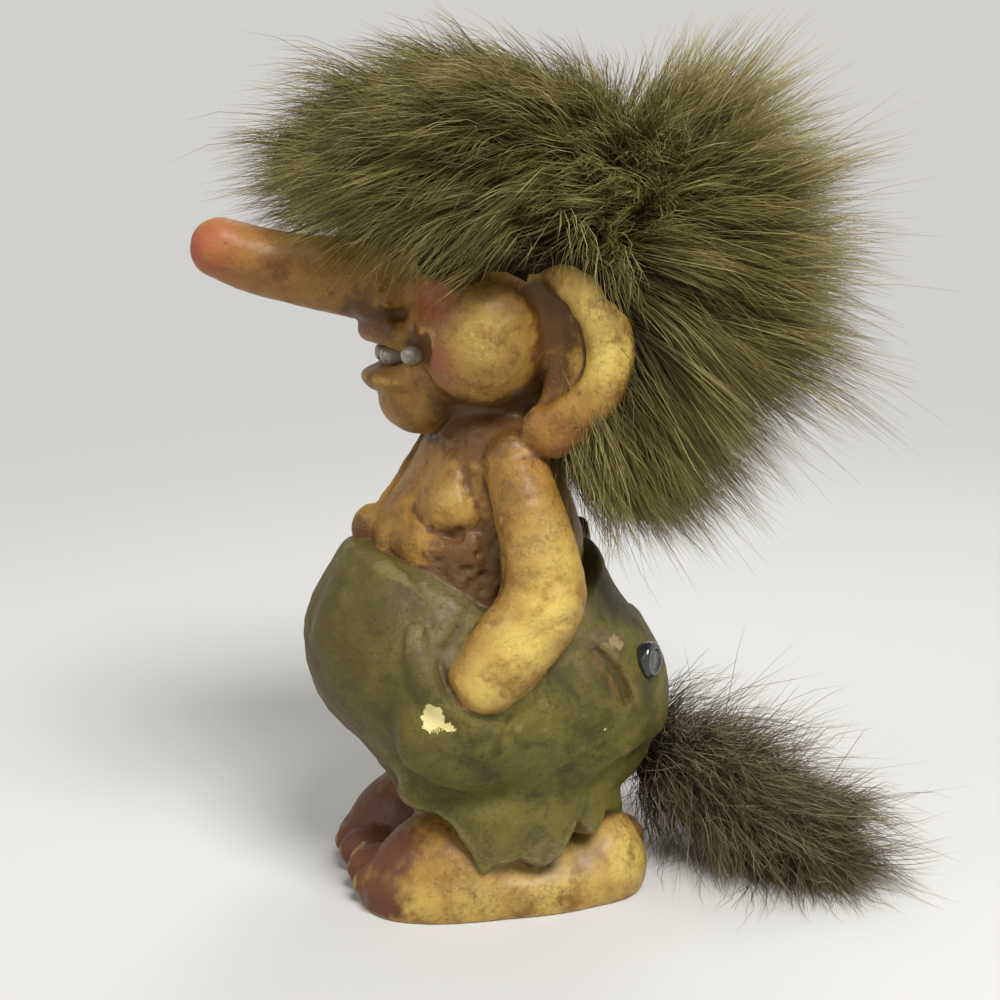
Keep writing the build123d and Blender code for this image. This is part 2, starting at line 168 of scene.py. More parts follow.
@dataclass(frozen=True)
class Ball(Form):
    """A spheroid with a centre and three half sizes."""

    centre: Point
    radii: Point

    def on(self, side: int) -> "Ball":
        """Return it for the left side, 1, or mirrored for the right side, -1."""
        return Ball((side * self.centre[0], *self.centre[1:]), self.radii)

    def reach(self) -> tuple[np.ndarray, np.ndarray]:
        """Return the lowest and highest corner of its box."""
        return np.subtract(self.centre, self.radii), np.add(self.centre, self.radii)

    def distance(self, x: np.ndarray, y: np.ndarray, z: np.ndarray) -> np.ndarray:
        """Return how far points are outside it."""
        (cx, cy, cz), (rx, ry, rz) = self.centre, self.radii
        whole = length_of((x - cx) / rx, (y - cy) / ry, (z - cz) / rz)
        slope = length_of((x - cx) / rx**2, (y - cy) / ry**2, (z - cz) / rz**2)
        return whole * (whole - 1) / (slope + 1e-6)


@dataclass(frozen=True)
class Limb(Form):
    """A tapering tube along a path, flattened sideways where squash is below 1."""

    path: Path
    radii: tuple[float, ...]
    squash: float = 1.0
    fine: int = 4

    def reach(self) -> tuple[np.ndarray, np.ndarray]:
        """Return the lowest and highest corner of its box."""
        widest = max(self.radii)
        return np.min(self.path, axis=0) - widest, np.max(self.path, axis=0) + widest

    def distance(self, x: np.ndarray, y: np.ndarray, z: np.ndarray) -> np.ndarray:
        """Return how far points are outside it."""
        total = None
        knots = np.column_stack([self.path, self.radii])
        line = smooth_curve(knots, self.fine * (len(knots) - 1) + 1)
        for (*start, first), (*end, last) in zip(line, line[1:]):
            along = np.subtract(end, start)
            share = (x - start[0]) * along[0] + (y - start[1]) * along[1] + (z - start[2]) * along[2]
            share = np.clip(share / float(along @ along), 0, 1)
            gap = length_of(
                (x - start[0] - along[0] * share) / self.squash,
                y - start[1] - along[1] * share,
                z - start[2] - along[2] * share,
            ) - (first + (last - first) * share)
            total = gap if total is None else np.minimum(total, gap)
        return total


@dataclass(frozen=True)
class Stack(Form):
    """Level ovals above each other, each given as height, front, back and width."""

    rows: Rows
    middle: float = 0.0
    grow: float = 0.0
    fine: int = 12
    edge: float = 1.2

    def reach(self) -> tuple[np.ndarray, np.ndarray]:
        """Return the lowest and highest corner of its box."""
        rows = np.array(self.rows)
        side = rows[:, 3].max() / 2 + self.grow
        low = (self.middle - side, rows[:, 1].min() - self.grow, rows[0, 0])
        return np.array(low), np.array((self.middle + side, rows[:, 2].max() + self.grow, rows[-1, 0]))

    def distance(self, x: np.ndarray, y: np.ndarray, z: np.ndarray) -> np.ndarray:
        """Return how far points are outside it."""
        rows = np.array(self.rows)
        fine = smooth_curve(rows, self.fine * len(rows))
        front, back, width = (np.interp(z, fine[:, 0], fine[:, pick]) for pick in (1, 2, 3))
        half_deep, half_wide = (back - front) / 2 + self.grow, width / 2 + self.grow
        off_x, off_y = x - self.middle, y - (front + back) / 2
        whole = length_of(off_x / half_wide, off_y / half_deep)
        slope = length_of(off_x / half_wide**2, off_y / half_deep**2)
        side = whole * (whole - 1) / (slope + 1e-6)
        top = z - rows[-1, 0] - self.grow
        bottom = rows[0, 0] - z
        return -soft_least(-side, -np.maximum(top, bottom), self.edge)


@dataclass(frozen=True)
class Slab(Form):
    """A level plate with a rounded rim."""

    outline: Line
    thickness: float
    rim: float
    bottom: float
    fine: int = 48

    def reach(self) -> tuple[np.ndarray, np.ndarray]:
        """Return the lowest and highest corner of its box."""
        low, high = np.min(self.outline, axis=0), np.max(self.outline, axis=0)
        return np.array((*low, self.bottom)), np.array((*high, self.bottom + self.thickness))

    def distance(self, x: np.ndarray, y: np.ndarray, z: np.ndarray) -> np.ndarray:
        """Return how far points are outside it."""
        edge = outline_distance(x, y, smooth_curve(self.outline, self.fine, closed=True)) + self.rim
        height = np.asarray(z - self.bottom, float)
        face = np.abs(height - self.thickness / 2) - self.thickness / 2 + self.rim
        corner = length_of(np.maximum(edge, 0), np.maximum(face, 0))
        return corner + np.minimum(np.maximum(edge, face), 0) - self.rim


class Clay:
    """A block of modelling clay: how far each point of a grid is outside the figure."""

    FAR = 8.0
    MARGIN = 2.0

    def __init__(self, low: Point, high: Point, step: float) -> None:
        """Fill the block with air.

        Args:
            low: its lowest corner.
            high: its highest corner.
            step: how far apart the grid's points are.
        """
        self.low = np.array(low, float)
        self.step = step
        self.axes = [np.arange(a, b, step, dtype=np.float32) for a, b in zip(low, high)]
        shape = tuple(len(axis) for axis in self.axes)
        self.body = np.full(shape, self.FAR, np.float32)
        self.nearest = np.full(shape, self.FAR, np.float32)
        self.part = np.zeros(shape, np.uint8)
        self.names: list[str] = []
        self.cover: dict[str, np.ndarray] = {}

    def block(self, low: np.ndarray, high: np.ndarray, margin: float) -> tuple[tuple, list[np.ndarray]]:
        """Return the part of the grid in a box, and the coordinates of its points."""
        cut = tuple(
            slice(max(0, int(np.searchsorted(axis, a - margin))), int(np.searchsorted(axis, b + margin)))
            for axis, a, b in zip(self.axes, low, high)
        )
        return cut, np.meshgrid(*[axis[c] for axis, c in zip(self.axes, cut)], indexing="ij", sparse=True)

    def press(self, name: str, form: Form, blend: float, cover: str) -> None:
        """Add a form to the figure.

        Args:
            name: the piece that it belongs to.
            form: the shape.
            blend: how far the join is smoothed.
            cover: what it is painted as, skin or cloth.
        """
        if name not in self.names:
            self.names.append(name)
        cut, grid = self.block(*form.reach(), margin=blend + self.MARGIN)
        new = form.distance(*grid).astype(np.float32)
        closer = new < self.nearest[cut]
        self.nearest[cut] = np.where(closer, new, self.nearest[cut])
        self.part[cut] = np.where(closer, self.names.index(name), self.part[cut])
        self.body[cut] = soft_least(self.body[cut], new, blend)
        if cover not in self.cover:
            self.cover[cover] = np.full(self.body.shape, self.FAR, np.float32)
        self.cover[cover][cut] = np.minimum(self.cover[cover][cut], new)

    def carve(self, form: Form, blend: float) -> None:
        """Cut a form out of the figure, rounding the edge by blend."""
        cut, grid = self.block(*form.reach(), margin=blend + self.MARGIN)
        self.body[cut] = -soft_least(-self.body[cut], form.distance(*grid).astype(np.float32), blend)

    def blurred(self, reach: float) -> np.ndarray:
        """Return the distances averaged over a box that reaches this far each way."""
        size = max(1, int(round(reach / self.step)))
        soft = np.clip(self.body, -reach * 1.5, reach * 1.5)
        for axis in range(3):
            pad = [(0, 0)] * 3
            pad[axis] = (size + 1, size)
            total = np.cumsum(np.pad(soft, pad, mode="edge"), axis=axis, dtype=np.float64)
            window = 2 * size + 1
            ahead = np.take(total, range(window, total.shape[axis]), axis=axis)
            behind = np.take(total, range(0, total.shape[axis] - window), axis=axis)
            soft = ((ahead - behind) / window).astype(np.float32)
        return soft

    def read(self, values: np.ndarray, points: np.ndarray) -> np.ndarray:
        """Return a grid's values at points, mixed from the eight around each."""
        cell = (points - self.low) / self.step
        limit = np.array(values.shape) - 2
        base = np.clip(np.floor(cell).astype(int), 0, limit)
        part = np.clip(cell - base, 0, 1)
        total = np.zeros(len(points))
        for corner in product((0, 1), repeat=3):
            weight = np.prod(np.where(np.array(corner) == 1, part, 1 - part), axis=1)
            total += values[tuple((base + np.array(corner)).T)] * weight
        return total

    def facing(self, points: np.ndarray) -> np.ndarray:
        """Return the way that the figure's surface faces near points."""
        ways = np.stack([
            self.read(self.body, points + way) - self.read(self.body, points - way)
            for way in np.eye(3) * self.step
        ], axis=1)
        return ways / (np.linalg.norm(ways, axis=1, keepdims=True) + 1e-9)

    def skin(self) -> tuple[np.ndarray, np.ndarray]:
        """Return the points and four-sided faces of the figure's surface."""
        inside = self.body < 0
        size = [n - 1 for n in self.body.shape]
        corners = list(product((0, 1), repeat=3))
        count = np.zeros(size, np.uint8)
        for cx, cy, cz in corners:
            count += inside[cx:cx + size[0], cy:cy + size[1], cz:cz + size[2]]
        cells = np.argwhere((count > 0) & (count < 8))
        order = np.full(self.body.shape, -1, np.int32)
        order[tuple(cells.T)] = np.arange(len(cells))
        place = np.zeros((len(cells), 3))
        hits = np.zeros(len(cells))
        for a, b in product(corners, repeat=2):
            if sum(b) - sum(a) != 1 or any(q < p for p, q in zip(a, b)):
                continue
            first = self.body[tuple((cells + a).T)]
            last = self.body[tuple((cells + b).T)]
            cross = (first < 0) != (last < 0)
            share = np.where(cross, first / np.where(cross, first - last, 1), 0)
            place += cross[:, None] * (np.array(a) + share[:, None] * np.subtract(b, a))
            hits += cross
        points = (cells + place / hits[:, None]) * self.step + self.low
        faces = []
        for axis in range(3):
            side_u, side_v = np.roll(np.eye(3, dtype=int), -axis - 1, axis=0)[:2]
            ahead = np.eye(3, dtype=int)[axis]
            start = inside[tuple(slice(0, n - s) for n, s in zip(inside.shape, ahead))]
            end = inside[tuple(slice(s, None) for s in ahead)]
            spots = np.argwhere(start != end)
            spots = spots[(spots[:, (axis + 1) % 3] > 0) & (spots[:, (axis + 2) % 3] > 0)]
            shifts = (side_u + side_v, side_v, 0 * side_u, side_u)
            ring = [order[tuple((spots - shift).T)] for shift in shifts]
            quads = np.stack(ring, axis=1)
            outward = start[tuple(spots.T)]
            faces.append(np.where(outward[:, None], quads, quads[:, ::-1]))
        return points, np.vstack(faces)


@dataclass(frozen=True)
class Trimmed(Form):
    """A form cut off at a height that changes with the angle from the front, in radians."""

    form: Stack
    heights: Line
    soften: float = 1.0

    def reach(self) -> tuple[np.ndarray, np.ndarray]:
        """Return the lowest and highest corner of its box."""
        return self.form.reach()

    def distance(self, x: np.ndarray, y: np.ndarray, z: np.ndarray) -> np.ndarray:
        """Return how far points are outside it."""
        angles, heights = zip(*self.heights)
        top = np.interp(np.arctan2(np.abs(x), -y), angles, heights)
        return -soft_least(-self.form.distance(x, y, z), top - z, self.soften)


@dataclass(frozen=True)
class Hemmed(Form):
    """A trouser leg whose ragged hem changes in height with the angle round the leg."""

    form: Stack
    heights: Line
    side: int
    soften: float = 0.8

    def reach(self) -> tuple[np.ndarray, np.ndarray]:
        """Return the lowest and highest corner of its box."""
        return self.form.reach()

    def distance(self, x: np.ndarray, y: np.ndarray, z: np.ndarray) -> np.ndarray:
        """Return how far points are outside it."""
        angles, heights = zip(*self.heights)
        bottom = np.interp(np.arctan2(self.side * (x - self.form.middle), -y), angles, heights)
        return -soft_least(-self.form.distance(x, y, z), z - bottom, self.soften)


@dataclass(frozen=True)
class Stroke:
    """A line scored into a side of the figure, or raised where its depth is below 0.

    It is drawn on the view from the side and scored on both sides, or on the view from the front.
    """

    line: Line
    depth: float
    width: float
    inner: float = 2.0
    front: bool = False
    margin: float = 2.5
    far: float = 60.0
    ends: tuple[float, float] = (6.0, 0.25)

    def press_into(self, clay: Clay) -> None:
        """Score the stroke into the clay."""
        path = smooth_curve(self.line, 10 * len(self.line))
        reach = self.width * self.margin
        low, high = path.min(axis=0) - reach, path.max(axis=0) + reach
        if self.front:
            self.score(clay, path, (low[0], -self.far, low[1]), (high[0], self.inner, high[1]))
            return
        for near, away in ((self.inner, self.far), (-self.far, -self.inner)):
            self.score(clay, path, (near, *low), (away, *high))

    def score(self, clay: Clay, path: np.ndarray, low: Sequence[float], high: Sequence[float]) -> None:
        """Score one view's line into the clay.

        Args:
            clay: the figure, changed in place.
            path: the line's points on the view, across and up.
            low: the lowest corner of the clay that it may touch.
            high: the highest corner.
        """
        cut, (x, y, z) = clay.block(np.array(low), np.array(high), 0)
        across = x if self.front else y
        gap = np.full(np.broadcast(across, z).shape, 1e9)
        taper = np.zeros(gap.shape)
        for (u0, v0), (u1, v1), along in zip(path, path[1:], np.linspace(0, 1, len(path))):
            share = (across - u0) * (u1 - u0) + (z - v0) * (v1 - v0)
            share = np.clip(share / ((u1 - u0) ** 2 + (v1 - v0) ** 2 + 1e-9), 0, 1)
            new = (across - u0 - (u1 - u0) * share) ** 2 + (z - v0 - (v1 - v0) * share) ** 2
            taper = np.where(new < gap, along, taper)
            gap = np.minimum(gap, new)
        steep, least = self.ends
        fade = np.clip(np.minimum(taper, 1 - taper) * steep + least, 0, 1)
        if self.front:
            near = smooth_step(-y, -self.inner, -self.inner + 3)
        else:
            near = smooth_step(np.abs(x), self.inner, self.inner + 2.5)
        clay.body[cut] += (self.depth * fade * np.exp(-gap / self.width**2) * near).astype(np.float32)


class Patch(Enum):
    """The pieces of the casting, each standing for one node of the model."""

    HEAD = "head"
    NOSE = "nose"
    LEFT_EAR = "left_ear"
    RIGHT_EAR = "right_ear"
    TORSO = "torso"
    LEFT_ARM = "left_arm"
    RIGHT_ARM = "right_arm"
    TROUSERS = "trousers"
    LEFT_POCKET = "left_pocket"
    RIGHT_POCKET = "right_pocket"
    SEAT_FLAP = "seat_flap"
    LEFT_FOOT = "left_foot"
    RIGHT_FOOT = "right_foot"
    BRACE_STRAP = "brace_strap"
    BRACE_KNOB = "brace_knob"


def mirrored(points: Sequence[Point], side: int) -> Path:
    """Return points with their x turned to this side."""
    return tuple((side * x, y, z) for x, y, z in points)


@dataclass
class Casting:
    """The painted casting: feet, trousers, torso, arms and head, modelled as one skin."""

    step: float = 0.36
    low: Point = (-27.0, -45.0, -1.2)
    high: Point = (27.0, 28.0, 106.0)
    foot_outline: Line = (
        (-0.6, -19.8), (2.0, -21.6), (6.0, -22.3), (10.5, -22.0), (14.6, -19.6), (17.2, -14.0), (18.4, -5.0),
        (18.4, 3.0), (17.2, 9.5), (14.4, 15.4), (10.0, 18.8), (5.0, 19.7), (-0.6, 19.0))
    foot_thickness: float = 6.4
    foot_rim: float = 2.3
    foot_bottom: float = -1.0
    instep: Ball = Ball((9.0, -8.0, 3.6), (8.8, 13.0, 9.8))
    arch: Ball = Ball((9.6, 4.0, 2.6), (8.6, 14.0, 6.6))
    heel: Ball = Ball((9.4, 12.0, 4.0), (8.0, 6.4, 7.4))
    toes: Rows = (
        (3.4, -17.8, 3.4, 3.3), (7.6, -18.4, 3.0, 2.9), (11.2, -17.6, 2.8, 2.7), (14.2, -15.6, 2.6, 2.4))
    trouser_rows: Rows = (
        (11.5, -14.6, 14.8, 29.5), (14.0, -15.6, 17.0, 33.0), (16.8, -17.2, 20.6, 36.2),
        (21.3, -20.6, 22.8, 40.8),
        (26.2, -25.1, 23.6, 43.4), (31.7, -27.5, 22.7, 44.0), (37.1, -28.0, 20.0, 42.4),
        (42.1, -26.7, 16.6, 38.4),
        (46.6, -24.2, 14.6, 34.8), (52.0, -20.4, 12.8, 32.6))
    leg_rows: Rows = (
        (3.0, -13.6, 13.0, 18.0), (8.0, -14.8, 14.2, 18.8), (12.0, -16.2, 15.0, 19.2),
        (16.0, -16.8, 14.8, 18.6),
        (22.0, -17.0, 16.0, 17.6))
    hem: Line = (
        (-3.15, 11.0), (-2.4, 12.0), (-1.57, 10.4), (-0.8, 13.0), (0.0, 15.6), (0.4, 15.4), (0.56, 14.0),
        (0.69, 11.0),
        (0.84, 7.0), (0.96, 8.0), (1.33, 9.0), (1.71, 7.4), (1.95, 8.6), (2.12, 11.6), (2.22, 13.4),
        (2.34, 12.0),
        (2.44, 10.4), (2.54, 11.2), (2.66, 13.2), (3.15, 11.0))
    leg_spread: float = 9.7
    seat: Ball = Ball((9.5, 7.4, 30.0), (10.0, 10.4, 10.8))
    pouch: Ball = Ball((17.6, -9.6, 26.8), (5.4, 9.2, 8.0))
    pocket_lip: Path = (
        (17.4, -16.0, 41.6), (18.4, -15.8, 38.6), (19.4, -14.6, 35.2), (20.2, -12.4, 32.4),
        (20.8, -9.6, 30.4), (20.9, -6.4, 29.4), (20.6, -3.2, 30.0), (19.8, -0.2, 32.2))
    lip_radii: tuple[float, ...] = (1.2, 1.9, 2.3, 2.3, 2.1, 1.9, 1.6, 1.0)
    torso_rows: Rows = (
        (34.0, -15.4, 9.6, 27.0), (43.5, -17.4, 11.2, 30.0), (50.0, -18.4, 11.6, 30.4),
        (54.3, -17.0, 10.4, 29.0),
        (58.1, -14.2, 8.8, 27.6), (62.0, -11.6, 7.4, 25.4), (65.3, -9.7, 6.5, 21.8), (69.2, -8.0, 6.0, 17.0),
        (74.0, -7.0, 5.5, 15.0))
    breast: Path = ((8.6, -5.6, 62.0), (8.8, -7.8, 57.2))
    breast_radii: tuple[float, ...] = (3.6, 4.4)
    shoulder: Ball = Ball((4.0, -2.0, 65.4), (9.0, 7.0, 4.6))
    knob: Ball = Ball((-3.0, -17.5, 51.4), (3.0, 3.2, 3.5))
    arm_path: Path = (
        (13.2, -1.6, 63.0), (17.0, -0.9, 57.6), (19.2, 0.1, 51.0), (20.2, 0.0, 45.0), (20.6, -5.0, 38.6),
        (20.2, -8.6, 34.6))
    arm_radii: tuple[float, ...] = (4.2, 4.7, 5.4, 6.0, 5.6, 4.4)
    skull: Ball = Ball((0.0, 1.1, 87.5), (16.0, 16.5, 16.0))
    jaw: Ball = Ball((0.0, -1.0, 76.6), (13.8, 12.6, 10.4))
    muzzle: Ball = Ball((0.0, -8.6, 77.0), (10.2, 9.0, 9.5))
    cheek: Ball = Ball((9.4, -4.8, 79.8), (9.1, 9.1, 9.8))
    brow: Ball = Ball((10.4, -9.4, 86.4), (4.6, 4.4, 3.4))
    upper_lip: Ball = Ball((0.0, -13.2, 79.7), (7.4, 6.6, 3.3))
    lower_lip: Ball = Ball((0.0, -14.4, 73.1), (6.6, 5.0, 2.4))
    chin: Ball = Ball((0.0, -10.9, 70.2), (6.8, 6.2, 5.2))
    nostril: Ball = Ball((3.4, -17.2, 84.2), (3.2, 4.2, 3.4))
    mouth: Ball = Ball((0.0, -19.0, 76.2), (9.4, 5.6, 1.75))
    mouth_corner: Path = ((5.0, -17.8, 76.3), (8.4, -15.4, 77.0), (10.6, -13.4, 78.2), (12.4, -11.4, 80.4))
    corner_radii: tuple[float, ...] = (1.8, 1.8, 1.4, 0.6)
    nose_path: Path = (
        (0.0, -10.0, 87.2), (0.0, -17.0, 86.7), (0.0, -22.5, 87.0), (0.0, -28.0, 88.0), (0.0, -33.0, 89.1),
        (0.0, -37.9, 90.9))
    nose_radii: tuple[float, ...] = (6.4, 5.9, 5.2, 4.7, 4.4, 4.0)
    ear_rim: Path = (
        (14.6, 1.6, 89.6), (16.6, 4.6, 87.6), (18.4, 8.0, 83.6), (19.2, 9.7, 79.0), (19.0, 9.2, 74.4),
        (18.0, 7.2, 70.8), (16.4, 3.8, 67.8), (15.6, 2.2, 67.6))
    ear_radii: tuple[float, ...] = (2.2, 2.9, 3.2, 3.3, 3.1, 3.2, 3.8, 3.5)
    ear_bowl: Path = (
        (13.6, 3.0, 87.0), (14.3, 5.4, 83.4), (14.9, 6.6, 78.8), (14.7, 6.2, 74.0), (14.0, 4.4, 70.2))
    bowl_radii: tuple[float, ...] = (2.8, 4.0, 4.3, 4.1, 3.0)
    ear_gutter: Path = (
        (16.4, 0.2, 85.6), (17.0, 1.8, 82.8), (17.6, 3.0, 79.0), (17.4, 2.8, 75.2), (16.4, 1.8, 72.2))
    gutter_radii: tuple[float, ...] = (1.0, 1.6, 1.9, 1.8, 1.0)
    waistband: Line = (
        (0.0, 50.0), (0.45, 49.4), (0.8, 47.4), (1.15, 44.0), (1.5, 42.0), (1.9, 42.4), (2.4, 45.6),
        (2.8, 47.6),
        (3.15, 48.4))

    def model_feet(self, clay: Clay, side: int) -> None:
        """Press one foot: a sole slab, an instep, a heel and the toes."""
        name = Patch.LEFT_FOOT.value if side > 0 else Patch.RIGHT_FOOT.value
        outline = tuple((side * x, y) for x, y in self.foot_outline)
        clay.press(name, Slab(outline, self.foot_thickness, self.foot_rim, self.foot_bottom), 0.6, "skin")
        clay.press(name, self.instep.on(side), 1.5, "skin")
        clay.press(name, self.arch.on(side), 2.0, "skin")
        clay.press(name, self.heel.on(side), 2.0, "skin")
        for out, ahead, rise, size in self.toes:
            clay.press(name, Ball((side * out, ahead, rise), (size * 0.92, size * 1.7, size)), 0.5, "skin")

    def model_trousers(self, clay: Clay) -> None:
        """Press the belly, the legs with their ragged hems, and the seat."""
        trousers = Patch.TROUSERS.value
        clay.press(trousers, Trimmed(Stack(self.trouser_rows), self.waistband), 1.4, "cloth")
        for side in (1, -1):
            leg = Hemmed(Stack(self.leg_rows, middle=side * self.leg_spread), self.hem, side)
            clay.press(trousers, leg, 1.0, "cloth")
            clay.press(trousers, self.seat.on(side), 3.0, "cloth")

    def model_torso(self, clay: Clay) -> None:
        """Press the chest, breasts and shoulders, and the knob of the brace."""
        name = Patch.TORSO.value
        clay.press(name, Stack(self.torso_rows), 0.5, "skin")
        for side in (1, -1):
            clay.press(name, Limb(mirrored(self.breast, side), self.breast_radii), 2.2, "skin")
            clay.press(name, self.shoulder.on(side), 1.5, "skin")
        clay.press(Patch.BRACE_KNOB.value, self.knob, 0.8, "skin")

    def model_arm(self, clay: Clay, side: int) -> None:
        """Press one arm, down to the wrist in the pocket, and the pocket round it."""
        left = side > 0
        arm = Limb(mirrored(self.arm_path, side), self.arm_radii, squash=0.8)
        clay.press(Patch.LEFT_ARM.value if left else Patch.RIGHT_ARM.value, arm, 0.7, "skin")
        name = Patch.LEFT_POCKET.value if left else Patch.RIGHT_POCKET.value
        clay.press(name, self.pouch.on(side), 2.2, "cloth")
        clay.press(name, Limb(mirrored(self.pocket_lip, side), self.lip_radii), 1.3, "cloth")

    def model_head(self, clay: Clay) -> None:
        """Press the skull, cheeks, muzzle, lips and chin, and open the mouth."""
        name, nose = Patch.HEAD.value, Patch.NOSE.value
        clay.press(name, self.skull, 0.8, "skin")
        clay.press(name, self.jaw, 2.0, "skin")
        clay.press(name, self.muzzle, 1.5, "skin")
        for side in (1, -1):
            clay.press(name, self.cheek.on(side), 0.6, "skin")
            clay.press(name, self.brow.on(side), 1.0, "skin")
        clay.press(name, self.upper_lip, 0.7, "skin")
        clay.press(name, self.lower_lip, 0.6, "skin")
        clay.press(name, self.chin, 0.8, "skin")
        clay.press(nose, Limb(self.nose_path, self.nose_radii), 1.2, "skin")
        for side in (1, -1):
            clay.press(nose, self.nostril.on(side), 1.2, "skin")
        clay.carve(self.mouth, 0.8)
        for side in (1, -1):
            clay.carve(Limb(mirrored(self.mouth_corner, side), self.corner_radii), 0.8)

    def model_ear(self, clay: Clay, side: int) -> None:
        """Press one ear: a leaf that stands off the head, with a rim round a scooped bowl."""
        name = Patch.LEFT_EAR.value if side > 0 else Patch.RIGHT_EAR.value
        clay.press(name, Limb(mirrored(self.ear_rim, side), self.ear_radii, squash=0.72), 1.0, "skin")
        clay.press(name, Limb(mirrored(self.ear_bowl, side), self.bowl_radii, squash=0.6), 1.2, "skin")
        clay.carve(Limb(mirrored(self.ear_gutter, side), self.gutter_radii), 1.4)

    def lay_flap(self, clay: Clay) -> None:
        """Lay the seat flap over the back of the trousers."""
        flap_cut, (x, y, z) = clay.block(np.array((-20.0, 4.0, 19.0)), np.array((20.0, 29.0, 41.0)), 0)
        outline = np.array(((-18, 21.6), (18, 21.6), (18, 38.4), (-18, 38.4)), float)
        inside = outline_distance(x, z, outline)
        shell = Stack(self.trouser_rows, grow=0.9).distance(x, y, z)
        panel = -soft_least(-shell, -inside, 1.2)
        panel = np.maximum(panel, 6.0 - y)
        clay.names.append(Patch.SEAT_FLAP.value)
        closer = (panel < clay.nearest[flap_cut]) & (inside < 0)
        clay.part[flap_cut] = np.where(closer, clay.names.index(Patch.SEAT_FLAP.value), clay.part[flap_cut])
        clay.body[flap_cut] = soft_least(clay.body[flap_cut], panel.astype(np.float32), 0.5)
        clay.cover["cloth"][flap_cut] = np.minimum(clay.cover["cloth"][flap_cut], panel)

    def strokes(self) -> tuple[Stroke, ...]:
        """Return the creases and ridges scored into the skin and the cloth."""
        return (
            Stroke(((-7.8, 64.6), (-7.6, 60.1), (-6.4, 56.3), (-5.9, 53.2), (-5.8, 49.0),
                    (-6.6, 45.0)), 0.8, 1.1, 9),
            Stroke(((-15.5, 61.5), (-14.9, 59.3), (-14.1, 56.3), (-12.7, 54.0), (-10.3, 53.1),
                    (-7.9, 53.8)), 0.9, 1.0, 4),
            Stroke(((-16.8, 61.1), (-17.4, 58.6), (-17.4, 54.5), (-17.1, 51.0), (-15.6, 48.2)), 0.7, 1.0, 3),
            Stroke(((3.6, 43.6), (0.9, 43.3), (-1.2, 42.5), (-2.7, 41.2)), 0.4, 0.9, 16),
            Stroke(((-7.8, 45.6), (-10.4, 41.8), (-12.8, 38.2), (-13.0, 35.8), (-11.7, 33.7),
                    (-10.0, 32.0), (-7.0, 30.6),
                    (-4.4, 30.2), (-2.0, 31.6)), 0.9, 0.9, 14),
            Stroke(((-4.4, 30.0), (-5.5, 28.0), (-6.4, 25.2)), 0.5, 0.8, 14),
            Stroke(((-4.9, 28.8), (-3.4, 26.6)), 0.4, 0.7, 14),
            Stroke(((7.4, 38.4), (10.0, 35.5), (12.2, 32.3), (13.6, 28.6)), 1.4, 1.0, 8),
            Stroke(((-15.4, 84.4), (-15.1, 81.8), (-13.5, 78.5), (-12.2, 75.8), (-11.3, 72.8),
                    (-8.6, 70.6), (-4.0, 69.6)),
                   0.45, 1.2, 3),
            Stroke(((-16.8, 87.6), (-12.5, 88.6), (-8.6, 88.9)), 0.4, 0.9, 5),
            Stroke(((-18.8, 22.5), (-14.0, 20.3), (-8.5, 18.0), (-3.0, 17.4)), 0.9, 1.6, 6),
            Stroke(((4.0, 17.6), (9.0, 18.2), (14.0, 20.0), (18.0, 22.6)), 0.6, 1.6, 6),
            Stroke(((-20.8, 84.0), (-17.6, 82.4), (-15.6, 82.6)), 0.5, 0.7, 1),
            Stroke(((-19.6, 36.0), (-20.4, 32.0), (-19.4, 28.0)), 0.25, 1.6, 8),
            Stroke(((-1.0, 27.0), (1.5, 22.0), (1.0, 17.0)), 0.3, 1.5, 12),
            Stroke(((5.5, 88.0), (4.2, 84.0), (4.6, 78.0), (4.2, 73.0)), 0.3, 0.8, 8),
            Stroke(((6.6, 84.6), (5.4, 80.0), (5.6, 75.0)), 0.25, 0.6, 10),
            Stroke(((0.0, 46.0), (0.0, 40.0), (0.0, 30.0)), 0.25, 1.2, 0, front=True),
            Stroke(((0.0, 0.0), (0.0, 8.0)), 1.0, 0.7, 0, front=True),
        )

    def build(self) -> Clay:
        """Press, carve and score the whole figure."""
        clay = Clay(self.low, self.high, self.step)
        self.model_trousers(clay)
        self.model_torso(clay)
        self.model_head(clay)
        for side in (1, -1):
            self.model_feet(clay, side)
            self.model_arm(clay, side)
            self.model_ear(clay, side)
        self.lay_flap(clay)
        strap = Trimmed(Stack(self.torso_rows, grow=0.8), ((0.0, 90.0), (3.2, 90.0)))
        self.lay_strap(clay, strap)
        for stroke in self.strokes():
            stroke.press_into(clay)
        clay.body = np.maximum(clay.body, -clay.axes[2][None, None, :])
        return clay

    def lay_strap(self, clay: Clay, shell: Trimmed) -> None:
        """Lay the brace over the far shoulder, from the knob in front to the button behind."""
        cut, (x, y, z) = clay.block(np.array((-16.0, -24.0, 46.0)), np.array((0.0, 16.0, 70.0)), 0)
        middle = -3.0 - (z - 49.5) * 0.34
        band = np.maximum(shell.distance(x, y, z), np.abs(x - middle) - 2.6)
        clay.names.append(Patch.BRACE_STRAP.value)
        closer = band < clay.nearest[cut]
        clay.part[cut] = np.where(closer, clay.names.index(Patch.BRACE_STRAP.value), clay.part[cut])
        clay.body[cut] = soft_least(clay.body[cut], band.astype(np.float32), 0.4)


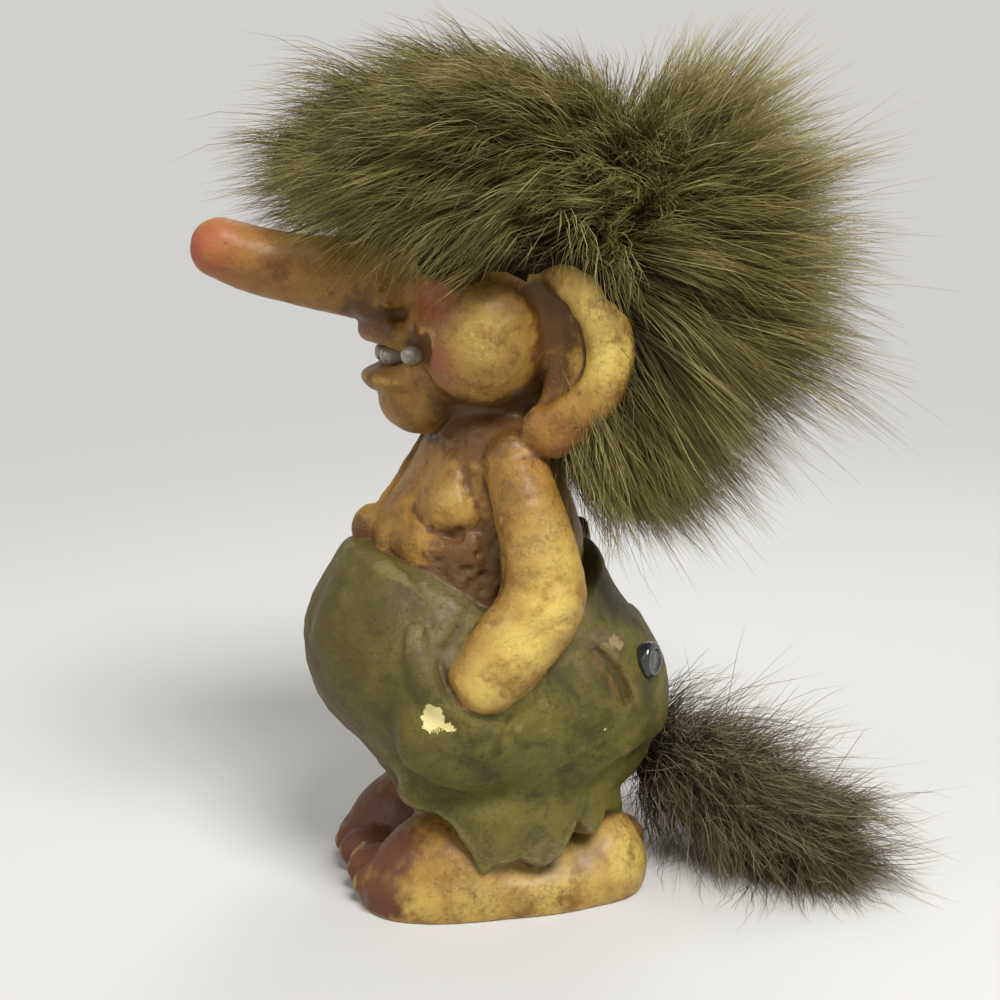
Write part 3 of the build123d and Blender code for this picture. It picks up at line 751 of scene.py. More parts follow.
@dataclass
class Coat:
    """Where the casting's paint carries brown wash and painted shade, worn paint and painted highlight, dust
    and painted shade, flush, or cloth colour.
    """

    blush_spots: Spots = (
        ((0.0, -41.0, 91.0), 6.8, 1.0), ((0.0, -35.0, 93.0), 4.4, 0.45), ((12.6, -13.4, 83.6), 4.0, 0.9),
        ((-12.6, -13.4, 83.6), 4.0, 0.9), ((13.4, -12.2, 77.2), 3.4, 0.8), ((-13.4, -12.2, 77.2), 3.4, 0.8),
        ((15.6, 2.8, 66.4), 3.4, 0.5), ((0.0, -20.0, 80.0), 3.4, 0.5), ((17.0, 12.1, 38.6), 1.9, 1.0))
    # Spots of brown wash and painted shade: in the crevices by the ears, pockets and neck, under the nose and
    # under the fringe. The one on the brace knob is its dark paint.
    wash_and_shade_spots: Spots = (
        ((14.0, -7.6, 48.6), 7.0, 1.0), ((9.0, -14.0, 60.5), 3.6, 0.7), ((9.0, -4.0, 67.6), 8.0, 1.0),
        ((15.4, 3.6, 80.4), 3.4, 1.0), ((14.8, 2.0, 85.0), 3.4, 1.0), ((15.0, 3.0, 75.0), 3.2, 1.0),
        ((14.0, -0.6, 71.0), 3.2, 0.8), ((6.0, -18.0, 81.0), 3.4, 0.8), ((3.0, -19.4, 83.0), 4.0, 0.95),
        ((12.0, -2.0, 69.6), 5.4, 0.9), ((9.0, -14.2, 77.6), 3.0, 1.0), ((-3.0, -19.0, 50.8), 3.6, 1.0),
        ((14.4, -13.0, 54.4), 3.2, 0.6), ((11.4, -17.2, 51.4), 3.0, 0.7), ((14.0, -8.8, 88.6), 3.4, 0.9),
        ((12.8, 12.6, 33.4), 2.6, 0.6), ((22.0, -4.4, 30.2), 2.2, 0.8), ((5.0, -24.0, 84.0), 4.6, 0.4),
        ((17.0, 15.0, 6.4), 3.0, 0.5), ((14.2, -1.2, 84.6), 3.4, 0.8), ((15.6, 0.4, 78.0), 2.6, 0.7),
        ((13.4, -7.0, 66.0), 4.0, 0.6), ((10.4, -13.0, 63.6), 3.0, 0.5))
    # Spots of lighter paint and painted highlight: the sides of the arms, the ear rims, the feet, the nose top
    # and the brace knob.
    pale_and_highlight_spots: Spots = (
        ((24.6, 0.6, 45.6), 4.6, 1.0), ((24.6, -3.4, 40.6), 4.8, 1.0), ((24.0, -7.4, 35.4), 4.4, 1.0),
        ((22.6, 2.0, 52.0), 5.0, 0.6), ((20.6, 6.4, 84.0), 5.0, 1.0), ((21.4, 9.0, 77.6), 4.6, 1.0),
        ((20.0, -17.0, 1.4), 4.6, 1.0), ((19.0, -8.0, 2.6), 5.0, 0.6), ((18.6, 4.0, 3.6), 8.0, 0.7),
        ((16.6, 15.4, 6.0), 6.0, 0.9), ((18.0, -8.4, 80.6), 4.4, 0.6), ((15.6, -7.0, 73.4), 3.6, 0.3),
        ((14.4, -11.0, 58.4), 3.4, 0.5), ((-3.4, -20.0, 53.0), 1.2, 1.0), ((0.0, -28.0, 94.0), 4.0, 0.3))
    # Spots of mauve dust and painted shade: at the waist, under the arms and on the feet under the hems.
    dust_and_shade_spots: Spots = (
        ((15.5, -12.6, 44.6), 4.4, 1.0), ((18.5, -13.2, 39.5), 3.6, 0.8), ((17.6, 2.0, 8.4), 3.8, 1.0),
        ((17.6, 7.6, 8.8), 3.4, 1.0), ((17.0, 7.6, 40.0), 5.0, 0.6), ((18.6, 12.0, 10.0), 3.0, 0.9),
        ((16.0, -6.0, 7.6), 3.4, 0.7), ((20.0, 4.0, 39.4), 3.6, 0.5))
    rust_spots: Spots = (
        ((0.0, -21.0, 4.0), 10.0, 1.0), ((13.0, -21.0, 3.0), 4.4, 0.85), ((-12.0, -20.0, 3.0), 10.0, 1.0),
        ((0.0, -14.0, 9.0), 8.0, 1.0), ((10.0, -18.0, 8.0), 5.0, 0.8), ((13.6, 12.0, 33.6), 3.4, 1.0),
        ((18.0, 9.6, 36.0), 2.4, 0.9),
        ((18.4, 11.8, 33.0), 2.4, 0.9), ((17.4, 13.2, 30.0), 2.2, 0.7))
    chip_spots: Spots = (
        ((21.6, -15.0, 31.2), 2.3, 1.0), ((21.8, -12.6, 30.0), 1.3, 0.9), ((20.2, -17.4, 32.2), 1.1, 0.9),
        ((18.6, -11.8, 9.6), 0.8, 1.0), ((18.8, -7.6, 8.6), 0.6, 1.0), ((18.0, -13.6, 12.4), 0.5, 0.9),
        ((21.4, 4.0, 24.6), 0.5, 0.9), ((20.4, 9.4, 27.0), 0.45, 0.9), ((21.6, -8.0, 20.4), 0.4, 0.9),
        ((17.4, -19.6, 38.0), 0.45, 0.8), ((20.6, 0.0, 16.4), 0.45, 0.8), ((19.4, 10.4, 12.4), 0.9, 0.7))
    stipple_spots: Spots = (
        ((14.0, -8.0, 49.6), 7.5, 1.0), ((12.0, -2.0, 72.0), 5.0, 0.5), ((15.4, -0.6, 81.0), 4.0, 0.7),
        ((9.0, -6.0, 66.0), 5.0, 0.5), ((14.0, -8.0, 60.0), 3.0, 0.5))

    @staticmethod
    def spread(points: np.ndarray, spots: Spots, both: bool = True) -> np.ndarray:
        """Return how strongly the spots colour each point, the same on both sides where both is set."""
        total = np.zeros(len(points))
        folded = points.copy()
        folded[:, 0] = np.abs(folded[:, 0])
        for centre, size, strength in spots:
            place = folded if both and centre[0] > 0 else points
            gap = np.sum((place - np.array(centre)) ** 2, axis=1) / size**2
            total = np.maximum(total, strength * np.exp(-gap))
        return total

    def relief(self, points: np.ndarray, cloth: np.ndarray) -> np.ndarray:
        """Return how far the modelled surface stands out at each point, in millimetres."""
        skin = 1.0 - cloth
        lumps = 0.15 * value_noise(points, 3.1, 1) + 0.13 * value_noise(points, 1.5, 2)
        stipple = np.minimum(value_noise(points, 1.0, 3), 0.1) * 0.7 * self.spread(points, self.stipple_spots)
        fold = 0.34 * value_noise(points * np.array((1.0, 1.0, 0.55)), 5.5, 4)
        fold = fold + 0.09 * value_noise(points, 1.1, 5)
        return skin * (0.55 * lumps + stipple) + cloth * fold

    def read(self, clay: Clay, points: np.ndarray, raised: np.ndarray) -> dict[str, np.ndarray]:
        """Return the paint values of each point, from 0 to 1, by name."""
        fine, broad = clay.blurred(0.8), clay.blurred(2.9)
        hollow = -clay.read(fine, points) - 0.35 * raised
        # Painted shade where the surface lies deep among other parts, such as under the arms.
        broad_shade = -clay.read(broad, points)
        gap = clay.read(clay.cover["skin"], points) - clay.read(clay.cover["cloth"], points)
        edge_noise = 0.35 * value_noise(points, 2.2, 11) + 0.15 * value_noise(points, 0.8, 12)
        return {
            # Brown wash and painted shade in creases.
            "crease": smooth_step(hollow, 0.02, 0.32),
            # Worn paint and painted highlight on raised parts.
            "ridge": smooth_step(-hollow, 0.03, 0.22),
            # Painted shade in broad hollows and between parts.
            "hollow": smooth_step(broad_shade, 0.1, 1.5),
            "cloth": smooth_step(gap + edge_noise * 0.5, -0.16, 0.16),
            "blush": self.spread(points, self.blush_spots),
            # Brown wash and painted shade at the listed spots.
            "stain": self.spread(points, self.wash_and_shade_spots),
            # Lighter paint and painted highlight at the listed spots.
            "pale": self.spread(points, self.pale_and_highlight_spots),
            # Dust and painted shade at the listed spots.
            "dust": self.spread(points, self.dust_and_shade_spots),
            "rust": self.spread(points, self.rust_spots),
            "chip": self.spread(points, self.chip_spots, both=False),
            # Painted shade over the front of the figure, used on the trousers.
            "front": smooth_step(-points[:, 1], 8.0, 26.0),
        }


def new_mesh(name: str, points: np.ndarray, faces: Sequence[np.ndarray]) -> bpy.types.Mesh:
    """Make a smooth-shaded mesh from points in millimetres.

    Args:
        name: what it is called.
        points: one row per point.
        faces: arrays of faces, one for each number of corners.

    Returns:
        The mesh, in metres.
    """
    mesh = bpy.data.meshes.new(name)
    mesh.vertices.add(len(points))
    mesh.vertices.foreach_set("co", np.ascontiguousarray(points * MM, np.float32).ravel())
    corners = np.concatenate([block.ravel() for block in faces])
    sizes = np.concatenate([np.full(len(block), block.shape[1]) for block in faces])
    mesh.loops.add(len(corners))
    mesh.loops.foreach_set("vertex_index", corners.astype(np.int32))
    mesh.polygons.add(len(sizes))
    starts = np.concatenate([[0], np.cumsum(sizes)[:-1]])
    mesh.polygons.foreach_set("loop_start", starts.astype(np.int32))
    mesh.polygons.foreach_set("use_smooth", np.ones(len(sizes), bool))
    mesh.update(calc_edges=True)
    return mesh


def new_piece(name: str, mesh: bpy.types.Mesh, node: str,
              finish: bpy.types.Material) -> bpy.types.Object:
    """Put a mesh in the scene as a piece that stands for a node."""
    piece = bpy.data.objects.new(name, mesh)
    bpy.context.scene.collection.objects.link(piece)
    mesh.materials.append(finish)
    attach(piece, "root")
    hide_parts(node)
    LOG.info("%s stands for %s with %d faces", name, node, len(mesh.polygons))
    return piece


def give(mesh: bpy.types.Mesh, name: str, values: np.ndarray) -> None:
    """Store one number per point on a mesh under a name."""
    mesh.attributes.new(name, "FLOAT", "POINT").data.foreach_set("value", values.astype(np.float32))


def rims(quads: np.ndarray) -> list[np.ndarray]:
    """Return the closed rims of an open surface, each as its points in order."""
    starts, ends = quads.ravel(), np.roll(quads, -1, axis=1).ravel()
    size = int(quads.max()) + 1
    forward, backward = starts * size + ends, ends * size + starts
    open_edge = ~np.isin(forward, backward)
    after: dict[int, list[int]] = {}
    for start, end in zip(starts[open_edge].tolist(), ends[open_edge].tolist()):
        after.setdefault(start, []).append(end)
    loops = []
    while after:
        first = next(iter(after))
        walk, here = [first], after[first].pop()
        if not after[first]:
            del after[first]
        while here != first and here in after:
            walk.append(here)
            step = after[here].pop()
            if not after[here]:
                del after[here]
            here = step
        loops.append(np.array(walk))
    return loops


@dataclass
class Skin:
    """The finished surface of the casting, cut into the pieces that stand for its nodes."""

    casting: Casting
    coat: Coat
    wall: float = 1.3

    def build(self, finish: bpy.types.Material) -> list[bpy.types.Object]:
        """Model the casting and make its pieces."""
        clay = self.casting.build()
        points, quads = clay.skin()
        for _ in range(2):
            points = points - clay.facing(points) * clay.read(clay.body, points)[:, None] * 0.8
        ways = clay.facing(points)
        gap = clay.read(clay.cover["skin"], points) - clay.read(clay.cover["cloth"], points)
        cloth = smooth_step(gap, -0.5, 0.5)
        raised = self.coat.relief(points, cloth) * smooth_step(points[:, 2], 0.2, 1.4)
        paint = self.coat.read(clay, points, raised)
        points = points + ways * raised[:, None]
        points[:, 2] = np.maximum(points[:, 2], 0.0)
        ways = self.facing(points, quads)
        labels = self.labels(clay, points, quads)
        pieces = []
        for patch in Patch:
            chosen = quads[labels == clay.names.index(patch.value)]
            if len(chosen):
                pieces.append(self.cut_out(patch, chosen, points, ways, paint, finish))
        return pieces

    @staticmethod
    def facing(points: np.ndarray, quads: np.ndarray) -> np.ndarray:
        """Return the smooth way each point of a surface faces."""
        cross = np.cross(points[quads[:, 2]] - points[quads[:, 0]], points[quads[:, 3]] - points[quads[:, 1]])
        ways = np.zeros_like(points)
        for corner in range(4):
            for axis in range(3):
                ways[:, axis] += np.bincount(quads[:, corner], cross[:, axis], len(points))
        return ways / (np.linalg.norm(ways, axis=1, keepdims=True) + 1e-12)

    @staticmethod
    def labels(clay: Clay, points: np.ndarray, quads: np.ndarray) -> np.ndarray:
        """Return which piece each face belongs to, with ragged borders evened out."""
        cell = np.clip(np.rint((points - clay.low) / clay.step).astype(int), 0, np.array(clay.part.shape) - 1)
        marks = clay.part[tuple(cell.T)]
        for _ in range(6):
            votes = np.zeros((len(points), len(clay.names)), np.float32)
            for corner in range(4):
                for other in range(4):
                    np.add.at(votes, (quads[:, corner], marks[quads[:, other]]), 1)
            marks = votes.argmax(axis=1).astype(np.uint8)
        counts = [np.sum(marks[quads] == number, axis=1) for number in range(len(clay.names))]
        votes = np.stack(counts, axis=1)
        return votes.argmax(axis=1)

    def cut_out(self, patch: Patch, quads: np.ndarray, points: np.ndarray, ways: np.ndarray,
                paint: dict[str, np.ndarray], finish: bpy.types.Material) -> bpy.types.Object:
        """Make one piece: its share of the surface, turned in at the rims and closed behind."""
        used, flat = np.unique(quads, return_inverse=True)
        faces = flat.reshape(-1, 4)
        own, own_ways = points[used], ways[used]
        sides, caps, extra, source = [], [], [], []
        total = len(used)
        for loop in rims(faces):
            if len(loop) < 3:
                continue
            inner = own[loop] - own_ways[loop] * self.wall
            inner[:, 2] = np.maximum(inner[:, 2], 0.0)
            start = total + sum(len(block) for block in extra)
            ring = start + np.arange(len(loop))
            follow, follow_ring = np.roll(loop, -1), np.roll(ring, -1)
            sides.append(np.stack([follow, loop, ring, follow_ring], axis=1))
            middle = start + len(loop)
            caps.append(np.stack([follow_ring, ring, np.full(len(loop), middle)], axis=1))
            extra.append(np.vstack([inner, inner.mean(axis=0)]))
            source.append(np.concatenate([loop, loop[:1]]))
        blocks = [faces, *([np.vstack(sides)] if sides else []), *([np.vstack(caps)] if caps else [])]
        everything = np.vstack([own, *extra])
        mesh = new_mesh(patch.value + "_cast", everything, blocks)
        origin = np.concatenate([np.arange(total), *source])
        for name, values in paint.items():
            give(mesh, name, values[used][origin])
        normals = own_ways[origin].copy()
        mesh.normals_split_custom_set_from_vertices(normals.astype(np.float32))
        return new_piece(patch.value + "_cast", mesh, patch.value, finish)


Socket = bpy.types.NodeSocket


class Nodes:
    """Adds nodes to one tree and links them."""

    def __init__(self, tree: bpy.types.NodeTree) -> None:
        """Keep the tree."""
        self.tree = tree

    def add(self, kind: str, inputs: dict | None = None, **settings: object) -> bpy.types.Node:
        """Add a node, set its settings and link or set its inputs."""
        node = self.tree.nodes.new(kind)
        for name, value in settings.items():
            setattr(node, name, value)
        for name, value in (inputs or {}).items():
            if isinstance(value, Socket):
                self.tree.links.new(value, node.inputs[name])
            else:
                node.inputs[name].default_value = value
        return node

    def mix(self, share: Socket | float, first: object, second: object, blend: str = "MIX") -> Socket:
        """Return two colours mixed by a share."""
        first, second = ((*c, 1.0) if isinstance(c, tuple) and len(c) == 3 else c for c in (first, second))
        node = self.add("ShaderNodeMix", {0: share, 6: first, 7: second}, data_type="RGBA", blend_type=blend)
        return node.outputs[2]

    def sum(self, kind: str, first: object, second: object = 0.0, third: object = 0.0) -> Socket:
        """Return the result of one step of arithmetic."""
        return self.add("ShaderNodeMath", {0: first, 1: second, 2: third}, operation=kind).outputs[0]

    def rise(self, value: Socket, low: float, high: float, top: float = 1.0) -> Socket:
        """Return a soft rise from 0 to top as the value goes from low to high."""
        node = self.add("ShaderNodeMapRange", {0: value, 1: low, 2: high, 3: 0.0, 4: top},
                        interpolation_type="SMOOTHSTEP")
        return node.outputs[0]

    def place(self) -> Socket:
        """Return the place on the figure, in metres."""
        return self.add("ShaderNodeTexCoord").outputs["Object"]

    def noise(self, scale: object, detail: float = 3.0, rough: float = 0.55, twist: float = 0.0) -> Socket:
        """Return a noise from 0 to 1."""
        node = self.add("ShaderNodeTexNoise", {
            "Vector": self.place(), "Scale": scale, "Detail": detail, "Roughness": rough,
            "Distortion": twist})
        return node.outputs[0]

    def read(self, name: str) -> Socket:
        """Return a value stored on the mesh."""
        return self.add("ShaderNodeAttribute", attribute_name=name).outputs["Fac"]


class Effect(Enum):
    """The shared effects, each a node group."""

    STAIN = "stain_in_hollows"
    SPECKLES = "speckles"
    MOTTLING = "mottling"
    WEAR = "worn_high_spots"
    BRUSHWORK = "brushwork_height"
    STRANDS = "fibre_tone"


class Effects:
    """Builds each shared effect once and places it in materials."""

    def __init__(self) -> None:
        """Start with no effect built."""
        self.built: dict[Effect, bpy.types.NodeTree] = {}

    def group(self, effect: Effect) -> bpy.types.NodeTree:
        """Return the node group of an effect."""
        if effect not in self.built:
            makers = {
                Effect.STAIN: self.stain, Effect.SPECKLES: self.speckles, Effect.MOTTLING: self.mottling,
                Effect.WEAR: self.wear_and_highlight, Effect.BRUSHWORK: self.brushwork, Effect.STRANDS: self.strands}
            self.built[effect] = makers[effect]()
        return self.built[effect]

    def place(self, nodes: Nodes, effect: Effect, **inputs: object) -> bpy.types.Node:
        """Put an effect in a material with its own values."""
        node = nodes.add("ShaderNodeGroup", node_tree=self.group(effect))
        for name, value in inputs.items():
            socket = node.inputs[name]
            if isinstance(value, Socket):
                nodes.tree.links.new(value, socket)
            else:
                is_colour = isinstance(value, tuple) and len(value) == 3
                socket.default_value = (*value, 1.0) if is_colour else value
        return node

    @staticmethod
    def start(effect: Effect, colours: Sequence[str], values: Sequence[str], colour_out: str,
              value_out: str) -> tuple:
        """Return an empty group with its sockets, its nodes, its input node and its output node."""
        tree = bpy.data.node_groups.new(effect.value, "ShaderNodeTree")
        for name in colours:
            tree.interface.new_socket(name, in_out="INPUT", socket_type="NodeSocketColor")
        for name in values:
            tree.interface.new_socket(name, in_out="INPUT", socket_type="NodeSocketFloat")
        if colour_out:
            tree.interface.new_socket(colour_out, in_out="OUTPUT", socket_type="NodeSocketColor")
        if value_out:
            tree.interface.new_socket(value_out, in_out="OUTPUT", socket_type="NodeSocketFloat")
        nodes = Nodes(tree)
        return tree, nodes, nodes.add("NodeGroupInput").outputs, nodes.add("NodeGroupOutput").inputs

    def stain(self) -> bpy.types.NodeTree:
        """Brown wash and painted shade in hollows, with a ragged edge."""
        tree, nodes, given, out = self.start(
            Effect.STAIN, ("Paint", "Stain"), ("Hollow", "Amount", "Scale"), "Paint", "Mask")
        ragged = nodes.sum("MULTIPLY_ADD", nodes.noise(given["Scale"], 5.0, 0.7), 0.9, -0.45)
        depth = nodes.sum("ADD", given["Hollow"], ragged)
        mask = nodes.sum("MULTIPLY", nodes.rise(depth, 0.24, 0.62), given["Amount"])
        tree.links.new(nodes.mix(mask, given["Paint"], given["Stain"]), out["Paint"])
        tree.links.new(mask, out["Mask"])
        return tree

    def speckles(self) -> bpy.types.NodeTree:
        """Small round spots of different sizes, scattered thinly."""
        tree, nodes, given, out = self.start(Effect.SPECKLES, (), ("Scale", "Cover", "Size"), "", "Mask")
        place = nodes.place()
        drift = nodes.add("ShaderNodeTexNoise", {"Vector": place, "Scale": 1400.0}).outputs[1]
        shifted = nodes.add("ShaderNodeVectorMath", {0: drift, 1: (0.0006, 0.0006, 0.0006), 2: place},
                            operation="MULTIPLY_ADD").outputs[0]
        cells = nodes.add("ShaderNodeTexVoronoi", {"Vector": shifted, "Scale": given["Scale"]})
        chance = nodes.add("ShaderNodeSeparateColor", {0: cells.outputs["Color"]}).outputs
        kept = nodes.sum("LESS_THAN", chance[0], given["Cover"])
        size = nodes.sum("MULTIPLY", nodes.sum("MULTIPLY_ADD", chance[1], 0.8, 0.2), given["Size"])
        inside = nodes.sum("SUBTRACT", size, cells.outputs["Distance"])
        spot = nodes.rise(inside, 0.0, 0.12)
        tree.links.new(nodes.sum("MULTIPLY", spot, kept), out["Mask"])
        return tree

    def mottling(self) -> bpy.types.NodeTree:
        """Cloudy patches of a second paint."""
        tree, nodes, given, out = self.start(
            Effect.MOTTLING, ("Paint", "Second"), ("Scale", "Low", "High"), "Paint", "Mask")
        cloud = nodes.noise(given["Scale"], 6.0, 0.62, 0.4)
        mask = nodes.add("ShaderNodeMapRange", {0: cloud, 1: given["Low"], 2: given["High"]},
                         interpolation_type="SMOOTHSTEP").outputs[0]
        tree.links.new(nodes.mix(mask, given["Paint"], given["Second"]), out["Paint"])
        tree.links.new(mask, out["Mask"])
        return tree

    def wear_and_highlight(self) -> bpy.types.NodeTree:
        """Paint rubbed through to a lighter one, with painted highlight, on what stands out."""
        tree, nodes, given, out = self.start(
            Effect.WEAR, ("Paint", "Under"), ("Ridge", "Amount", "Scale"), "Paint", "Mask")
        ragged = nodes.sum("MULTIPLY_ADD", nodes.noise(given["Scale"], 6.0, 0.75), 1.5, -0.75)
        height = nodes.sum("ADD", given["Ridge"], ragged)
        mask = nodes.sum("MULTIPLY", nodes.rise(height, 0.35, 0.6), given["Amount"])
        tree.links.new(nodes.mix(mask, given["Paint"], given["Under"]), out["Paint"])
        tree.links.new(mask, out["Mask"])
        return tree

    def brushwork(self) -> bpy.types.NodeTree:
        """The fine height of brushed paint over a cast surface."""
        tree, nodes, given, out = self.start(Effect.BRUSHWORK, (), ("Scale", "Pits"), "", "Height")
        fine = nodes.noise(given["Scale"], 6.0, 0.7)
        pitted = nodes.add("ShaderNodeTexVoronoi", {"Vector": nodes.place(), "Scale": 900.0})
        pits = pitted.outputs["Distance"]
        hole = nodes.sum("MULTIPLY", nodes.rise(pits, 0.35, 0.05, 1.0), given["Pits"])
        tree.links.new(nodes.sum("SUBTRACT", fine, hole), out["Height"])
        return tree

    def strands(self) -> bpy.types.NodeTree:
        """The colour of a fibre from its dark root, which also stands as painted shade deep in the pile, to
        its lighter tip.
        """
        tree, nodes, given, out = self.start(
            Effect.STRANDS, ("Root", "Middle", "Tip"), ("Along", "Tone"), "Paint", "")
        low = nodes.mix(nodes.rise(given["Along"], 0.10, 0.65), given["Root"], given["Middle"])
        high = nodes.mix(nodes.rise(given["Along"], 0.45, 1.0), low, given["Tip"])
        bright = nodes.add("ShaderNodeHueSaturation", {
            "Color": high, "Value": nodes.sum("MULTIPLY_ADD", given["Tone"], 1.9, 0.15),
            "Saturation": nodes.sum("MULTIPLY_ADD", given["Tone"], -0.35, 1.18)})
        tree.links.new(bright.outputs[0], out["Paint"])
        return tree


def new_material(name: str, **settings: object) -> tuple[bpy.types.Material, Nodes, bpy.types.Node]:
    """Return a new material, its nodes and its shader with plain values set."""
    material = bpy.data.materials.new(name)
    material.use_nodes = True
    shader = material.node_tree.nodes["Principled BSDF"]
    for socket, value in settings.items():
        shader.inputs[socket.replace("_", " ")].default_value = value
    return material, Nodes(material.node_tree), shader


def bump(nodes: Nodes, shader: bpy.types.Node, height: Socket, strength: float, distance: float) -> None:
    """Feed a height into a shader's normal."""
    node = nodes.add("ShaderNodeBump", {"Strength": strength, "Distance": distance * MM, "Height": height})
    nodes.tree.links.new(node.outputs[0], shader.inputs["Normal"])


@dataclass(frozen=True)
class CastPaint:
    """Hand-brushed paint on the casting: ochre skin and olive cloth under a brown wash and varnish, with
    painted shade in creases, in hollows and over the trousers' front, and painted highlight on raised parts.
    """

    skin: Colour = (0.32, 0.168, 0.028)
    skin_second: Colour = (0.185, 0.080, 0.011)
    # Lighter paint, also painted highlight on the pale spots and on raised parts.
    skin_pale_and_highlight: Colour = (0.68, 0.48, 0.115)
    # Brown wash, also painted shade in creases and hollows, and the colour of the speckles and pores.
    stain: Colour = (0.088, 0.034, 0.0055)
    blush: Colour = (0.36, 0.070, 0.036)
    rust: Colour = (0.115, 0.034, 0.009)
    # Mauve dust, also painted shade.
    dust: Colour = (0.20, 0.150, 0.085)
    cloth: Colour = (0.128, 0.107, 0.014)
    # Darker cloth paint for the mottling, also painted shade in the cloth's creases and hollows, and the wash
    # in its pores.
    cloth_dark: Colour = (0.046, 0.037, 0.006)
    cloth_rust: Colour = (0.150, 0.085, 0.022)
    bare: Colour = (0.300, 0.215, 0.090)
    # Painted shade over the front of the trousers.
    cloth_front_shade: Colour = (0.082, 0.056, 0.010)
    # Worn lighter cloth paint, also painted highlight on raised cloth.
    cloth_pale_and_highlight: Colour = (0.23, 0.195, 0.06)
    chip: Colour = (0.72, 0.62, 0.27)

    def skin_paint(self, nodes: Nodes, effects: Effects) -> Socket:
        """Return the colour of the skin."""
        paint = effects.place(nodes, Effect.MOTTLING, Paint=self.skin, Second=self.skin_second,
                              Scale=170.0, Low=0.42, High=0.72).outputs["Paint"]
        # Lighter paint and painted highlight on the pale spots.
        pale = nodes.sum("MULTIPLY", nodes.read("pale"), nodes.rise(nodes.noise(260.0, 5.0, 0.6), 0.30, 0.55))
        paint = nodes.mix(pale, paint, self.skin_pale_and_highlight)
        blush = nodes.sum("MULTIPLY", nodes.read("blush"),
                          nodes.rise(nodes.noise(420.0, 5.0, 0.65), 0.1, 0.6))
        paint = nodes.mix(blush, paint, self.blush)
        rust = nodes.rise(nodes.sum("ADD", nodes.read("rust"), nodes.noise(500.0, 4.0)), 0.55, 1.1)
        paint = nodes.mix(rust, paint, self.rust)
        # Brown wash and painted shade from the listed spots, the creases and the broad hollows.
        stain = nodes.sum("MULTIPLY_ADD", nodes.read("stain"), 0.95, nodes.read("crease"))
        # Broad hollows add painted shade.
        stain = nodes.sum("MULTIPLY_ADD", nodes.read("hollow"), 0.35, stain)
        paint = effects.place(nodes, Effect.STAIN, Paint=paint, Stain=self.stain, Hollow=stain,
                              Amount=0.88, Scale=620.0).outputs["Paint"]
        # Worn paint and painted highlight on raised parts.
        paint = effects.place(nodes, Effect.WEAR, Paint=paint, Under=self.skin_pale_and_highlight,
                              Ridge=nodes.read("ridge"),
                              Amount=0.32, Scale=500.0).outputs["Paint"]
        # Dust and painted shade.
        dust = nodes.sum("MULTIPLY", nodes.read("dust"), nodes.rise(nodes.noise(300.0, 5.0), 0.2, 0.6))
        paint = nodes.mix(dust, paint, self.dust)
        paint = self.grain(nodes, paint, self.stain, 0.55)
        spots = effects.place(nodes, Effect.SPECKLES, Scale=300.0, Cover=0.3, Size=0.22).outputs["Mask"]
        return nodes.mix(nodes.sum("MULTIPLY", spots, 0.7), paint, self.stain)

    @staticmethod
    def grain(nodes: Nodes, paint: Socket, wash: Colour, most: float) -> Socket:
        """Return the paint with a fine wash left in the pores of the casting, in cloudy patches."""
        pores = nodes.rise(nodes.noise(1500.0, 6.0, 0.8), 0.44, 0.62)
        clouds = nodes.rise(nodes.noise(170.0, 6.0, 0.7, 0.8), 0.38, 0.64, most)
        return nodes.mix(nodes.sum("MULTIPLY", pores, clouds), paint, wash)

    def cloth_paint(self, nodes: Nodes, effects: Effects) -> Socket:
        """Return the colour of the cloth."""
        paint = effects.place(nodes, Effect.MOTTLING, Paint=self.cloth, Second=self.cloth_dark,
                              Scale=150.0, Low=0.40, High=0.70).outputs["Paint"]
        # Painted shade over the front of the trousers, in cloudy patches.
        front = nodes.sum("MULTIPLY", nodes.read("front"), nodes.rise(nodes.noise(200.0, 5.0), 0.25, 0.7))
        paint = nodes.mix(front, paint, self.cloth_front_shade)
        rust = nodes.rise(nodes.sum("ADD", nodes.read("rust"), nodes.noise(600.0, 4.0)), 0.75, 1.25, 0.8)
        paint = nodes.mix(rust, paint, self.cloth_rust)
        bare = nodes.rise(nodes.sum("ADD", nodes.read("blush"), nodes.noise(900.0, 4.0)), 1.0, 1.15)
        paint = nodes.mix(bare, paint, self.bare)
        # Painted shade in the cloth's creases and broad hollows.
        stain = nodes.sum("MULTIPLY_ADD", nodes.read("hollow"), 0.55, nodes.read("crease"))
        paint = effects.place(nodes, Effect.STAIN, Paint=paint, Stain=self.cloth_dark, Hollow=stain,
                              Amount=0.7, Scale=450.0).outputs["Paint"]
        # Worn paint and painted highlight on raised cloth.
        paint = effects.place(nodes, Effect.WEAR, Paint=paint, Under=self.cloth_pale_and_highlight,
                              Ridge=nodes.read("ridge"),
                              Amount=0.45, Scale=380.0).outputs["Paint"]
        # Dust and painted shade.
        dust = nodes.sum("MULTIPLY", nodes.read("dust"), nodes.rise(nodes.noise(300.0, 5.0), 0.25, 0.65))
        paint = nodes.mix(dust, paint, self.dust)
        paint = self.grain(nodes, paint, self.cloth_dark, 0.7)
        return self.chipped(nodes, effects, paint)

    def chipped(self, nodes: Nodes, effects: Effects, paint: Socket) -> Socket:
        """Return the paint with ragged chips down to the pale cast, some of them at listed spots."""
        ragged = nodes.sum("MULTIPLY_ADD", nodes.noise(1300.0, 4.0, 0.7), 0.9, nodes.read("chip"))
        paint = nodes.mix(nodes.rise(ragged, 0.98, 1.04), paint, self.chip)
        chips = effects.place(nodes, Effect.SPECKLES, Scale=190.0, Cover=0.10, Size=0.06).outputs["Mask"]
        return nodes.mix(nodes.sum("MULTIPLY", chips, 0.8), paint, self.chip)

